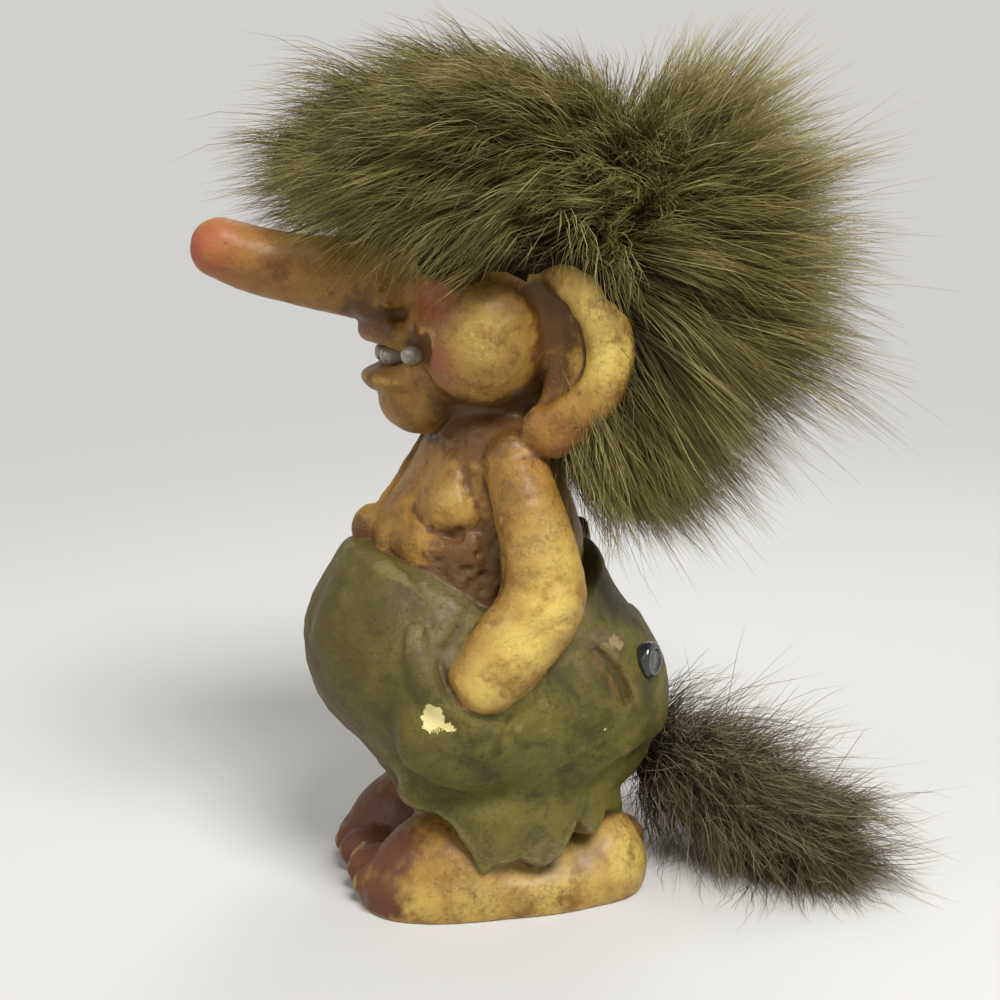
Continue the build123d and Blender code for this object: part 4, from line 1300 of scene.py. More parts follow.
    def material(self, effects: Effects) -> bpy.types.Material:
        """Return the paint as one material, cloth and skin parted by a painted edge."""
        material, nodes, shader = new_material("painted_casting", Coat_Roughness=0.3, Specular_IOR_Level=0.3)
        skin, cloth = self.skin_paint(nodes, effects), self.cloth_paint(nodes, effects)
        edge = nodes.sum("ADD", nodes.read("cloth"),
                         nodes.sum("MULTIPLY_ADD", nodes.noise(900.0), 0.5, -0.25))
        is_cloth = nodes.rise(edge, 0.3, 0.7)
        nodes.tree.links.new(nodes.mix(is_cloth, skin, cloth), shader.inputs["Base Color"])
        dull = nodes.sum("MULTIPLY_ADD", nodes.noise(240.0, 4.0), 0.25, 0.40)
        nodes.tree.links.new(nodes.sum("MULTIPLY_ADD", is_cloth, 0.08, dull), shader.inputs["Roughness"])
        nodes.tree.links.new(nodes.sum("MULTIPLY_ADD", is_cloth, -0.1, 0.16), shader.inputs["Coat Weight"])
        height = effects.place(nodes, Effect.BRUSHWORK, Scale=1500.0, Pits=0.5).outputs["Height"]
        bump(nodes, shader, height, 0.8, 0.17)
        return material


@dataclass(frozen=True)
class Enamel:
    """A smooth glossy finish with faint clouding, for beads, buttons and teeth."""

    name: str
    colour: Colour
    second: Colour
    roughness: float

    def material(self, effects: Effects) -> bpy.types.Material:
        """Return the finish as a material."""
        material, nodes, shader = new_material(self.name, Coat_Weight=0.6, Coat_Roughness=0.05)
        clouds = effects.place(nodes, Effect.MOTTLING, Paint=self.colour, Second=self.second,
                               Scale=500.0, Low=0.4, High=0.7)
        nodes.tree.links.new(clouds.outputs["Paint"], shader.inputs["Base Color"])
        dull = nodes.sum("MULTIPLY_ADD", clouds.outputs["Mask"], 0.12, self.roughness)
        nodes.tree.links.new(dull, shader.inputs["Roughness"])
        height = effects.place(nodes, Effect.BRUSHWORK, Scale=2400.0, Pits=0.2).outputs["Height"]
        bump(nodes, shader, height, 0.2, 0.05)
        return material


@dataclass(frozen=True)
class FurFinish:
    """Long fake fur: dark at the root, also as painted shade deep in the pile, olive in the middle and light
    at the tips.
    """

    name: str = "fake_fur"
    # Dark fibre colour, also painted shade deep in the pile.
    root: Colour = (0.012, 0.009, 0.004)
    middle: Colour = (0.105, 0.081, 0.018)
    tip: Colour = (0.265, 0.215, 0.065)

    def material(self, effects: Effects) -> bpy.types.Material:
        """Return the fur as a material."""
        material, nodes, shader = new_material(self.name, Roughness=0.34, Specular_IOR_Level=0.28)
        paint = effects.place(nodes, Effect.STRANDS, Root=self.root, Middle=self.middle, Tip=self.tip,
                              Along=nodes.read("along"), Tone=nodes.read("tone")).outputs["Paint"]
        nodes.tree.links.new(paint, shader.inputs["Base Color"])
        dull = nodes.sum("MULTIPLY_ADD", nodes.read("tone"), -0.12, 0.48)
        nodes.tree.links.new(dull, shader.inputs["Roughness"])
        return material


@dataclass(frozen=True)
class BackingFinish:
    """The knitted backing and matted under-wool that the fur grows from, near black as painted shade deep in
    the fur.
    """

    name: str = "fur_backing"
    colour: Colour = (0.026, 0.020, 0.009)
    second: Colour = (0.012, 0.009, 0.004)

    def material(self, effects: Effects) -> bpy.types.Material:
        """Return the backing as a material."""
        material, nodes, shader = new_material(self.name, Specular_IOR_Level=0.05)
        clouds = effects.place(nodes, Effect.MOTTLING, Paint=self.colour, Second=self.second,
                               Scale=420.0, Low=0.3, High=0.7)
        nodes.tree.links.new(clouds.outputs["Paint"], shader.inputs["Base Color"])
        dull = nodes.sum("MULTIPLY_ADD", clouds.outputs["Mask"], 0.1, 0.8)
        nodes.tree.links.new(dull, shader.inputs["Roughness"])
        bump(nodes, shader, nodes.noise(1400.0, 5.0, 0.8), 0.9, 0.6)
        return material


@dataclass(frozen=True)
class Turned:
    """A small piece turned round an axis, with a slight hand-made wobble."""

    node: str
    seat: Point
    axis: Point
    profile: Line
    wobble: float = 0.03
    around: int = 40
    seed: int = 5

    def build(self, finish: bpy.types.Material) -> bpy.types.Object:
        """Make the piece.

        Args:
            finish: its material.

        Returns:
            The piece, standing for its node.
        """
        curve = smooth_curve(self.profile, 6 * len(self.profile))
        curve[:, 0] = np.maximum(curve[:, 0], 0.0)
        way = np.array(self.axis, float)
        way /= np.linalg.norm(way)
        side = np.cross(way, (0.0, 0.0, 1.0) if abs(way[2]) < 0.9 else (1.0, 0.0, 0.0))
        side /= np.linalg.norm(side)
        other = np.cross(way, side)
        angle = np.linspace(0, 2 * math.pi, self.around, endpoint=False)
        ring = np.cos(angle)[:, None] * side + np.sin(angle)[:, None] * other
        points = np.array(self.seat) + (curve[1:-1, 0, None, None] * ring + curve[1:-1, 1, None, None] * way)
        points = points.reshape(-1, 3)
        swell = value_noise(points, 1.3, self.seed) * self.wobble
        points += (points - np.array(self.seat)) * swell[:, None]
        rows = len(curve) - 2
        ends = np.array(self.seat) + np.stack([curve[0, 1] * way, curve[-1, 1] * way])
        start = (np.arange(rows - 1)[:, None] * self.around + np.arange(self.around)).ravel()
        turn = np.arange(rows - 1)[:, None] * self.around + (np.arange(self.around) + 1) % self.around
        turn = turn.ravel()
        quads = np.stack([start, turn, turn + self.around, start + self.around], axis=1)
        here, there = np.arange(self.around), (np.arange(self.around) + 1) % self.around
        last = (rows - 1) * self.around
        low = np.stack([there, here, np.full(self.around, len(points))], axis=1)
        high = np.stack([last + here, last + there, np.full(self.around, len(points) + 1)], axis=1)
        mesh = new_mesh(self.node + "_turned", np.vstack([points, ends]), [quads, np.vstack([low, high])])
        return new_piece(self.node + "_turned", mesh, self.node, finish)


@dataclass
class Fittings:
    """What is set into the casting: four peg teeth, two bead eyes and two buttons."""

    tooth_profile: Line = (
        (0.0, -3.6), (1.0, -3.6), (1.22, -2.0), (1.28, -0.4), (1.22, 0.5), (0.95, 1.05), (0.5, 1.3),
        (0.0, 1.36))
    bead_profile: Line = (
        (0.0, -2.4), (1.3, -2.0), (2.2, -1.0), (2.4, 0.0), (2.2, 1.0), (1.3, 2.0), (0.0, 2.4))
    button_profile: Line = (
        (0.0, -0.9), (2.0, -0.9), (2.5, -0.4), (2.6, 0.5), (2.3, 1.1), (1.8, 1.25), (1.3, 1.0),
        (0.7, 1.05), (0.0, 1.1))
    tooth: Enamel = Enamel("tooth_white", (0.36, 0.31, 0.235), (0.16, 0.12, 0.075), 0.28)
    bead: Enamel = Enamel("eye_bead", (0.030, 0.018, 0.010), (0.012, 0.008, 0.006), 0.10)
    black: Enamel = Enamel("button_black", (0.016, 0.016, 0.018), (0.030, 0.028, 0.024), 0.16)

    def build(self, effects: Effects) -> list[bpy.types.Object]:
        """Make the teeth, eyes and buttons where their nodes are."""
        white, bead, black = (finish.material(effects) for finish in (self.tooth, self.bead, self.black))
        made = []
        for side, word in ((1, "left"), (-1, "right")):
            front = Turned(word + "_front_tooth", (side * 2.1, -15.9, 76.3), (side * 0.14, -1.0, 0.0),
                           self.tooth_profile)
            corner = Turned(word + "_side_tooth", (side * 7.6, -14.2, 76.9), (side * 0.6, -0.8, 0.05),
                            self.tooth_profile, seed=6)
            eye = Turned(word + "_eye", (side * 7.2, -11.6, 92.6), (side * 0.4, -1.0, 0.0),
                         self.bead_profile, 0.0)
            made += [front.build(white), corner.build(white), eye.build(bead)]
        seat = Turned("seat_button", (14.3, 17.3, 34.4), (1.0, 1.0, 0.1), self.button_profile)
        back = Turned("brace_button", (-3.0, 12.6, 48.6), (0.0, 1.0, 0.1), self.button_profile, seed=8)
        return made + [seat.build(black), back.build(black)]


Guide = tuple[Point, Point, Point, Point]


@dataclass(frozen=True)
class Lie:
    """How the fibres of a pelt lie: how many, how thick, and how loose."""

    count: int
    thickness: float = 0.066
    splay: float = 0.12
    clump: float = 0.55
    wave: float = 0.35
    curl: float = 1.1
    stray: float = 0.12
    shortest: float = 0.5
    longest: float = 1.08
    seed: int = 1
    nearness: float = 2.2
    growth: tuple[float, float] = (2.2, 1.0)
    splay_power: float = 1.3
    clump_power: float = 0.9
    curl_power: float = 0.6
    lock_size: int = 20
    most_lean: float = 1.8
    own_lean: tuple[float, float] = (1.3, 0.45)
    lock_lean: float = 1.5
    pace: tuple[float, float] = (3.2, 7.2)
    tone: float = 0.35
    tone_spread: tuple[float, float] = (0.15, 0.14)
    bright_share: float = 0.17
    brighter: float = 0.36


@dataclass
class Pelt:
    """A piece of fake fur whose fibres follow guides, over a core of matted under-wool that is dark as painted
    shade.
    """

    node: str
    guides: tuple[Guide, ...]
    lie: Lie
    roots: Callable[[np.random.Generator, int], np.ndarray]
    core_share: float = 0.36
    core_radius: float = 2.4
    low: Point = (-32.0, -46.0, -4.0)
    high: Point = (32.0, 60.0, 124.5)
    girth: tuple[float, float] = (0.65, 0.8)
    taper: tuple[float, float] = (0.72, 1.6)
    core_margin: float = 6.0
    core_step: float = 0.75
    core_blend: float = 3.0
    core_taper: tuple[float, ...] = (0.8, 1.0, 0.95, 0.5)
    batch: int = 2000
    bends: int = 5
    per_piece: int = 6900
    both_sides: bool = True

    def all_guides(self) -> np.ndarray:
        """Return the guides, with their mirror images on the head, as guide by point by axis."""
        guides = np.array(self.guides, float)
        if not self.both_sides:
            return guides
        twins = guides[guides[:, 0, 0] > 0] * np.array((-1.0, 1.0, 1.0))
        return np.concatenate([guides, twins])

    def paths(self) -> tuple[np.ndarray, np.ndarray]:
        """Return the fibres' paths, as fibre by point by axis, and each fibre's tone."""
        lie = self.lie
        rng = np.random.default_rng(lie.seed)
        roots = self.roots(rng, lie.count)
        guides = self.all_guides()
        gap = np.sum((roots[:, None, :] - guides[None, :, 0, :]) ** 2, axis=2)
        weight = 1.0 / (gap + 1.0) ** lie.nearness
        weight /= weight.sum(axis=1, keepdims=True)
        shape = np.einsum("fg,gpa->fpa", weight, guides - guides[:, :1])
        basis = smooth_curve(np.eye(4), self.bends + 1)
        length = np.linalg.norm(shape[:, -1], axis=1)
        grow = lie.shortest + (lie.longest - lie.shortest) * rng.beta(*lie.growth, len(roots))
        lines = np.einsum("sp,fpa->fsa", basis, shape) * grow[:, None, None]
        share = np.linspace(0, 1, self.bends + 1)[None, :, None]
        centres = rng.choice(len(roots), max(1, len(roots) // lie.lock_size), replace=False)
        near = np.empty(len(roots), int)
        for start in range(0, len(roots), self.batch):
            block = roots[start:start + self.batch]
            near[start:start + self.batch] = np.argmin(
                np.sum((block[:, None] - roots[centres][None]) ** 2, axis=2), axis=1)
        lock = centres[near]
        stray = rng.random(len(roots)) < lie.stray
        lean = np.clip(rng.normal(0, 1, (len(roots), 3)), -lie.most_lean, lie.most_lean)
        lean = lean * np.where(stray, *lie.own_lean)[:, None] + lean[lock] * lie.lock_lean
        lines = lines + lean[:, None, :] * (length[:, None, None] * lie.splay * share**lie.splay_power)
        pull = (roots[lock] - roots)[:, None, :] * lie.clump * share**lie.clump_power
        led = np.where(stray, np.arange(len(roots)), lock)
        phase = rng.uniform(0, 2 * math.pi, (len(roots), 1, 3))
        pace = rng.uniform(*lie.pace, (len(roots), 1, 1))
        curl = (np.sin(share * pace[led] + phase[led]) - np.sin(phase[led])) * lie.curl * share**lie.curl_power
        wave = np.sin(share * pace[::-1] + phase[::-1]) * lie.wave * share
        shade = rng.normal(0, 1, (2, len(roots)))
        own, shared = lie.tone_spread
        bright = rng.random(len(roots)) < lie.bright_share
        tone = lie.tone + own * shade[0] + shared * shade[1][lock] + lie.brighter * bright
        paths = roots[:, None, :] + lines + pull + curl + wave
        inside = np.all((paths > np.array(self.low)) & (paths < np.array(self.high)), axis=(1, 2))
        return paths[inside], np.clip(tone, 0, 1)[inside]

    def build(self, fibre: bpy.types.Material, backing: bpy.types.Material) -> list[bpy.types.Object]:
        """Make the core and the fibres, in pieces of a fair size."""
        paths, tone = self.paths()
        paths[:, :, 2] = np.maximum(paths[:, :, 2], 0.15)
        parts = max(1, math.ceil(len(paths) / self.per_piece))
        order = np.argsort(np.arange(len(paths)) % parts, kind="stable")
        pieces = [self.core(backing)]
        for number, chosen in enumerate(np.array_split(order, parts), 1):
            pieces.append(self.fibres(f"{self.node}_fibres_{number}", paths[chosen], tone[chosen], fibre))
        return pieces

    def fibres(self, name: str, paths: np.ndarray, tone: np.ndarray,
               finish: bpy.types.Material) -> bpy.types.Object:
        """Make one mesh of closed three-sided fibres that taper to a point."""
        count, rings = len(paths), self.bends
        along = np.gradient(paths, axis=1)
        along /= np.linalg.norm(along, axis=2, keepdims=True) + 1e-9
        side = np.cross(along, np.array((0.31, 0.22, 0.92)))
        side /= np.linalg.norm(side, axis=2, keepdims=True) + 1e-9
        other = np.cross(along, side)
        share = np.linspace(0, 1, rings + 1)
        (least, more), (thinning, power) = self.girth, self.taper
        radius = self.lie.thickness * (least + more * tone)[:, None] * (1.0 - thinning * share[:-1] ** power)
        angle = np.arange(3) * 2 * math.pi / 3
        ring = (np.cos(angle)[None, None, :, None] * side[:, :-1, None, :]
                + np.sin(angle)[None, None, :, None] * other[:, :-1, None, :])
        points = paths[:, :-1, None, :] + ring * radius[:, :, None, None]
        points = np.concatenate([points.reshape(count, rings * 3, 3), paths[:, -1:, :]], axis=1)
        size = rings * 3 + 1
        turn = [1, 2, 0]
        quads = [(r * 3 + s, r * 3 + turn[s], r * 3 + 3 + turn[s], r * 3 + 3 + s)
                 for r in range(rings - 1) for s in range(3)]
        last = (rings - 1) * 3
        tips = [(last + s, last + turn[s], size - 1) for s in range(3)] + [(2, 1, 0)]
        offset = np.arange(count)[:, None, None] * size
        quad_faces = (np.array(quads)[None] + offset).reshape(-1, 4)
        tip_faces = (np.array(tips)[None] + offset).reshape(-1, 3)
        mesh = new_mesh(name, points.reshape(-1, 3), [quad_faces, tip_faces])
        give(mesh, "along", np.tile(np.append(np.repeat(share[:-1], 3), 1.0), count))
        give(mesh, "tone", np.repeat(tone, size))
        self.lay_out(mesh, count, quads, tips)
        return new_piece(name, mesh, self.node, finish)

    def lay_out(self, mesh: bpy.types.Mesh, count: int, quads: list, tips: list) -> None:
        """Give every fibre its own cell of a flat grid, so that a bake has room for it."""
        across = math.ceil(math.sqrt(count))
        cell = np.stack([np.arange(count) % across, np.arange(count) // across], axis=1) / across
        def spots(faces: list, low: float, high: float) -> np.ndarray:
            """Return the corners of a fibre's faces within its cell."""
            columns = len(faces)
            corners = []
            for number, face in enumerate(faces):
                left, right = (number + 0.1) / columns, (number + 0.9) / columns
                box = ((left, low), (right, low), (right, high), (left, high))
                corners += box[:len(face)]
            return np.array(corners) * 0.92 + 0.04
        blocks = []
        for faces, low, high in ((quads, 0.0, 0.62), (tips, 0.70, 1.0)):
            local = spots(faces, low, high) / across
            blocks.append((cell[:, None, :] + local[None]).reshape(-1, 2))
        layer = mesh.uv_layers.new(name="OFBake")
        layer.data.foreach_set("uv", np.concatenate(blocks).astype(np.float32).ravel())

    def core(self, finish: bpy.types.Material) -> bpy.types.Object:
        """Make the matted under-wool along the lower part of the guides, a dark mass that stands for the shade
        deep in the fur.
        """
        guides = self.all_guides()
        ends = guides[:, :1] + (guides - guides[:, :1]) * self.core_share
        low, high = ends.min(axis=(0, 1)) - self.core_margin, ends.max(axis=(0, 1)) + self.core_margin
        low[2] = max(low[2], -1.0)
        wool = Clay(tuple(low), tuple(high), self.core_step)
        for path in ends:
            radii = tuple(self.core_radius * size for size in self.core_taper)
            wool.press(self.node, Limb(tuple(map(tuple, path)), radii), self.core_blend, "wool")
        wool.body = np.maximum(wool.body, 0.4 - wool.axes[2][None, None, :])
        points, quads = wool.skin()
        ways = wool.facing(points)
        tuft = value_noise(points, 2.4, self.lie.seed) * 0.7
        tuft = tuft + value_noise(points, 1.2, self.lie.seed + 1) * 0.35
        points = points + ways * tuft[:, None]
        points[:, 2] = np.maximum(points[:, 2], 0.1)
        mesh = new_mesh(self.node + "_wool", points, [quads])
        return new_piece(self.node + "_wool", mesh, self.node, finish)


@dataclass
class Scalp:
    """Where the hair grows: the two pieces of hide glued on the skull, and the strip of the tail."""

    centre: Point = (0.0, 1.1, 87.5)
    radii: Point = (16.9, 17.4, 16.9)
    seam: float = 14.6
    edge_height: float = 93.0
    edge_slope: float = 0.2
    edge_front: float = -13.2
    ragged: float = 0.7
    overlap: float = 1.0
    back_low: float = 72.0
    beside_out: float = 9.0
    beside_heights: tuple[float, float] = (71.5, 91.0)
    beside_start: tuple[float, float] = (8.2, 6.0)
    ear_height: float = 77.0
    crown_share: float = 0.6
    nape_share: float = 0.3
    nape_turn: float = 1.2
    nape_radius: float = 12.2
    nape_heights: tuple[float, float] = (66.0, 78.0)
    strip_radius: float = 1.3
    strip: Path = (
        (0.0, 21.0, 16.5), (0.3, 26.5, 11.4), (2.1, 32.0, 6.9), (5.6, 37.6, 5.2), (9.4, 42.0, 4.2))

    def over_skull(self, back: bool) -> Callable[[np.random.Generator, int], np.ndarray]:
        """Return what scatters roots over one of the two pieces of hide."""
        def scatter(rng: np.random.Generator, count: int) -> np.ndarray:
            """Return evenly scattered roots."""
            kept: list[np.ndarray] = []
            while sum(map(len, kept)) < count:
                way = rng.normal(0, 1, (4 * count, 3))
                way /= np.linalg.norm(way, axis=1, keepdims=True)
                spot = np.array(self.centre) + way * np.array(self.radii)
                ragged = rng.normal(0, self.ragged, len(spot))
                edge = self.edge_height - self.edge_slope * (spot[:, 1] - self.edge_front) + ragged
                if back:
                    low, high = self.beside_heights
                    keep = (spot[:, 1] > self.seam - self.overlap) & (spot[:, 2] > self.back_low)
                    beside = (np.abs(spot[:, 0]) > self.beside_out) & (spot[:, 2] < high) & (spot[:, 2] > low)
                    keep |= beside & (spot[:, 1] > np.where(spot[:, 2] > self.ear_height, *self.beside_start))
                    keep &= rng.random(len(spot)) < np.where(beside, 1.0, self.crown_share)
                    kept.append(self.on_nape(rng, int(self.nape_share * keep.sum())))
                else:
                    keep = (spot[:, 1] < self.seam + self.overlap) & (spot[:, 2] > edge)
                kept.append(spot[keep])
            return np.concatenate(kept)[:count]
        return scatter

    def on_nape(self, rng: np.random.Generator, count: int) -> np.ndarray:
        """Return roots on the part of the hide that hangs loose behind the neck."""
        turn = rng.uniform(-self.nape_turn, self.nape_turn, count)
        height = rng.uniform(*self.nape_heights, count)
        across, back = self.nape_radius * np.sin(turn), self.nape_radius * np.cos(turn) - 1.0
        return np.stack([across, back, height], axis=1)

    def along_strip(self, rng: np.random.Generator, count: int) -> np.ndarray:
        """Return roots scattered along the tail's strip of hide."""
        line = smooth_curve(self.strip, 60)
        spot = line[rng.integers(0, len(line), count)]
        away = rng.normal(0, 1, (count, 3))
        away /= np.linalg.norm(away, axis=1, keepdims=True)
        return spot + away * self.strip_radius


@dataclass
class Hair:
    """The two pieces of hair on the head and the fur of the tail."""

    scalp: Scalp
    front_lie: Lie = Lie(20600, seed=21)
    back_lie: Lie = Lie(44000, seed=22)
    tail_lie: Lie = Lie(13500, splay=0.26, clump=0.5, wave=0.5, curl=1.7, stray=0.2, shortest=0.3, seed=23)
    front_guides: tuple[Guide, ...] = (
        ((0.0, -14.3, 94.8), (0.0, -20.0, 98.5), (0.0, -27.0, 100.4), (0.0, -33.4, 99.4)),
        ((0.0, -12.0, 98.5), (0.0, -18.0, 104.3), (0.0, -25.0, 105.6), (0.0, -31.0, 103.9)),
        ((0.0, -8.0, 101.4), (0.0, -13.5, 107.1), (0.0, -20.5, 109.3), (0.0, -27.0, 108.2)),
        ((0.0, -3.0, 102.9), (0.0, -6.5, 108.6), (0.0, -12.0, 111.8), (0.0, -18.4, 112.2)),
        ((0.0, 3.0, 103.1), (0.0, 1.0, 109.3), (0.0, -3.4, 112.6), (0.0, -9.0, 114.2)),
        ((0.0, 8.0, 101.8), (0.0, 7.5, 108.2), (0.0, 5.0, 111.8), (0.0, 0.5, 114.3)),
        ((0.0, 11.6, 100.0), (0.0, 12.6, 106.4), (0.0, 12.0, 110.2), (0.0, 9.4, 113.2)),
        ((0.0, 15.0, 97.6), (0.0, 20.6, 104.0), (0.0, 25.4, 107.7), (0.0, 29.0, 109.9)),
        ((10.0, -9.0, 95.5), (13.0, -15.0, 99.0), (15.5, -21.5, 99.6), (16.0, -28.0, 97.0)),
        ((10.5, -3.0, 99.3), (14.0, -8.0, 104.3), (17.0, -15.0, 105.8), (18.5, -22.0, 103.9)),
        ((10.5, 4.0, 100.0), (14.5, 1.0, 106.2), (18.0, -4.5, 108.8), (20.0, -11.5, 108.6)),
        ((10.4, 9.0, 98.6), (14.4, 8.6, 105.0), (18.0, 5.6, 108.2), (20.6, 0.5, 109.1)),
        ((10.0, 14.0, 95.4), (14.2, 17.6, 101.6), (17.6, 20.6, 105.1), (20.0, 22.6, 106.7)),
        ((15.2, 4.6, 90.6), (19.4, 7.4, 90.6), (21.8, 11.4, 87.0), (22.6, 15.2, 81.0)),
        ((15.0, 1.0, 90.6), (18.8, -1.4, 91.6), (20.8, -5.2, 90.4), (21.6, -9.8, 87.4)),
        ((14.6, -6.0, 92.8), (18.5, -10.5, 94.6), (20.6, -16.0, 93.4), (20.6, -21.5, 89.4)),
        ((15.6, 1.0, 92.4), (20.0, -1.5, 96.4), (22.6, -7.0, 97.2), (23.6, -13.5, 94.4)),
        ((15.4, 6.0, 92.4), (19.8, 5.5, 97.4), (23.0, 2.0, 99.6), (24.6, -4.0, 98.4)),
        ((14.4, 11.0, 92.4), (18.8, 12.4, 97.4), (22.6, 12.0, 100.0), (25.0, 9.0, 100.0)),
        ((13.0, -9.0, 91.5), (15.5, -14.0, 92.2), (16.6, -17.4, 89.0), (16.2, -19.8, 84.4)),
        ((14.8, -3.0, 91.0), (18.0, -6.5, 92.2), (19.6, -10.6, 90.4), (19.8, -14.6, 86.8)),
    )
    back_guides: tuple[Guide, ...] = (
        ((0.0, 14.4, 98.0), (0.0, 21.6, 104.4), (0.0, 27.5, 108.9), (0.0, 32.3, 113.2)),
        ((0.0, 16.0, 95.4), (0.0, 24.0, 102.8), (0.0, 30.4, 109.3), (0.0, 36.3, 115.1)),
        ((0.0, 17.0, 92.6), (0.0, 25.3, 100.0), (0.0, 32.4, 106.3), (0.0, 38.4, 110.1)),
        ((0.0, 17.5, 90.0), (0.0, 26.7, 97.0), (0.0, 34.4, 102.6), (0.0, 41.1, 104.8)),
        ((0.0, 17.8, 86.0), (0.0, 28.6, 91.0), (0.0, 39.1, 95.0), (0.0, 47.3, 95.6)),
        ((0.0, 17.8, 83.0), (0.0, 29.0, 85.6), (0.0, 41.3, 87.0), (0.0, 51.8, 85.4)),
        ((0.0, 17.0, 80.0), (0.0, 28.0, 80.2), (0.0, 40.0, 78.6), (0.0, 49.7, 74.0)),
        ((0.0, 15.5, 76.0), (0.0, 24.6, 74.4), (0.0, 34.6, 71.0), (0.0, 43.4, 65.0)),
        ((0.0, 12.0, 74.0), (0.0, 19.6, 70.0), (0.0, 28.6, 64.4), (0.0, 37.0, 57.0)),
        ((0.0, 9.0, 73.0), (0.0, 14.0, 68.0), (0.0, 21.0, 61.8), (0.0, 29.0, 55.4)),
        ((9.0, 14.5, 94.6), (13.4, 20.0, 101.4), (16.6, 25.6, 106.3), (18.6, 30.4, 109.4)),
        ((10.0, 15.0, 92.0), (15.0, 23.0, 99.0), (18.0, 30.4, 104.3), (19.0, 37.4, 106.8)),
        ((12.0, 14.5, 87.0), (17.0, 23.0, 91.6), (20.0, 32.1, 95.0), (21.0, 41.0, 95.0)),
        ((12.0, 14.5, 82.0), (18.0, 23.0, 83.0), (21.5, 33.0, 82.6), (22.0, 42.9, 79.0)),
        ((11.5, 14.0, 78.0), (17.0, 21.0, 76.4), (20.5, 30.0, 72.4), (21.0, 39.4, 66.0)),
        ((10.0, 12.0, 73.0), (15.0, 16.8, 69.0), (17.8, 22.4, 63.4), (18.2, 28.4, 57.0)),
        ((9.5, 9.0, 72.0), (14.4, 12.2, 67.0), (17.2, 15.4, 61.4), (18.2, 19.0, 55.4)),
        ((13.0, 13.5, 91.0), (17.6, 18.0, 95.4), (21.4, 24.0, 97.6), (24.0, 30.2, 97.0)),
        ((15.5, 8.5, 89.0), (20.0, 12.5, 90.6), (23.5, 18.5, 89.6), (24.5, 25.5, 85.4)),
        ((15.0, 9.0, 84.0), (20.0, 13.0, 82.4), (23.0, 18.6, 77.2), (23.5, 24.6, 69.6)),
        ((14.0, 9.0, 78.0), (19.0, 12.2, 74.4), (21.6, 15.4, 68.0), (22.0, 18.0, 60.6)),
        ((15.4, 7.4, 86.6), (19.2, 10.6, 85.0), (21.8, 14.0, 80.6), (22.6, 17.6, 74.6)),
        ((12.0, 4.4, 74.0), (16.0, 7.6, 69.6), (18.8, 10.4, 63.6), (19.8, 12.4, 57.0)),
        ((11.0, 5.6, 68.4), (14.6, 8.8, 65.0), (17.0, 12.0, 60.6), (18.0, 14.8, 55.6)),
        ((6.0, 10.0, 68.0), (9.0, 14.4, 64.6), (11.6, 19.0, 60.2), (13.0, 23.4, 55.6)),
        ((0.0, 11.4, 68.0), (0.0, 16.4, 64.6), (0.0, 21.6, 60.4), (0.0, 26.6, 56.0)),
    )
    tail_guides: tuple[Guide, ...] = (
        ((0.3, 22.0, 17.6), (1.0, 26.6, 20.4), (2.0, 30.4, 22.8), (3.4, 34.0, 24.2)),
        ((0.3, 21.4, 16.0), (-0.8, 25.6, 16.6), (-1.4, 30.0, 15.4), (-1.0, 34.4, 13.0)),
        ((0.6, 21.6, 15.0), (2.0, 24.0, 10.8), (4.4, 26.6, 6.4), (7.6, 29.0, 2.6)),
        ((1.6, 23.0, 14.0), (6.0, 25.4, 12.6), (10.4, 27.6, 9.2), (14.6, 28.8, 5.0)),
        ((2.4, 29.0, 9.4), (6.0, 33.0, 12.6), (10.0, 36.4, 14.0), (14.6, 39.4, 13.4)),
        ((1.0, 24.6, 15.0), (3.0, 29.4, 16.6), (5.4, 34.0, 16.4), (8.4, 38.4, 14.6)),
        ((0.3, 23.0, 12.0), (-1.0, 27.0, 8.6), (-1.6, 31.0, 5.2), (-1.0, 35.0, 2.4)),
        ((1.5, 27.0, 12.6), (4.0, 31.6, 13.2), (7.0, 36.0, 12.4), (10.4, 40.6, 10.6)),
        ((3.5, 27.0, 9.0), (8.0, 28.0, 7.4), (12.6, 28.4, 4.6), (17.6, 27.6, 2.0)),
        ((3.0, 33.0, 8.4), (6.6, 37.6, 10.0), (10.6, 42.0, 9.4), (14.6, 46.0, 7.6)),
        ((1.0, 33.0, 5.0), (2.4, 38.0, 4.4), (5.0, 42.6, 3.0), (8.6, 46.6, 1.4)),
        ((5.0, 33.0, 4.6), (10.0, 33.6, 3.4), (15.0, 33.0, 2.0), (20.4, 30.6, 0.8)),
        ((7.4, 38.0, 6.2), (11.0, 41.6, 6.8), (14.6, 44.6, 5.4), (18.0, 47.0, 3.4)),
        ((7.6, 38.0, 3.6), (12.4, 39.6, 2.6), (17.6, 39.6, 1.4), (23.0, 38.0, 0.6)),
        ((6.0, 39.0, 4.0), (8.6, 43.0, 3.4), (11.4, 46.6, 2.0), (14.4, 49.6, 0.8)),
    )

    def build(self, effects: Effects) -> list[bpy.types.Object]:
        """Make the hair and its wool, and give the hide pieces the backing finish."""
        fibre, backing = FurFinish().material(effects), BackingFinish().material(effects)
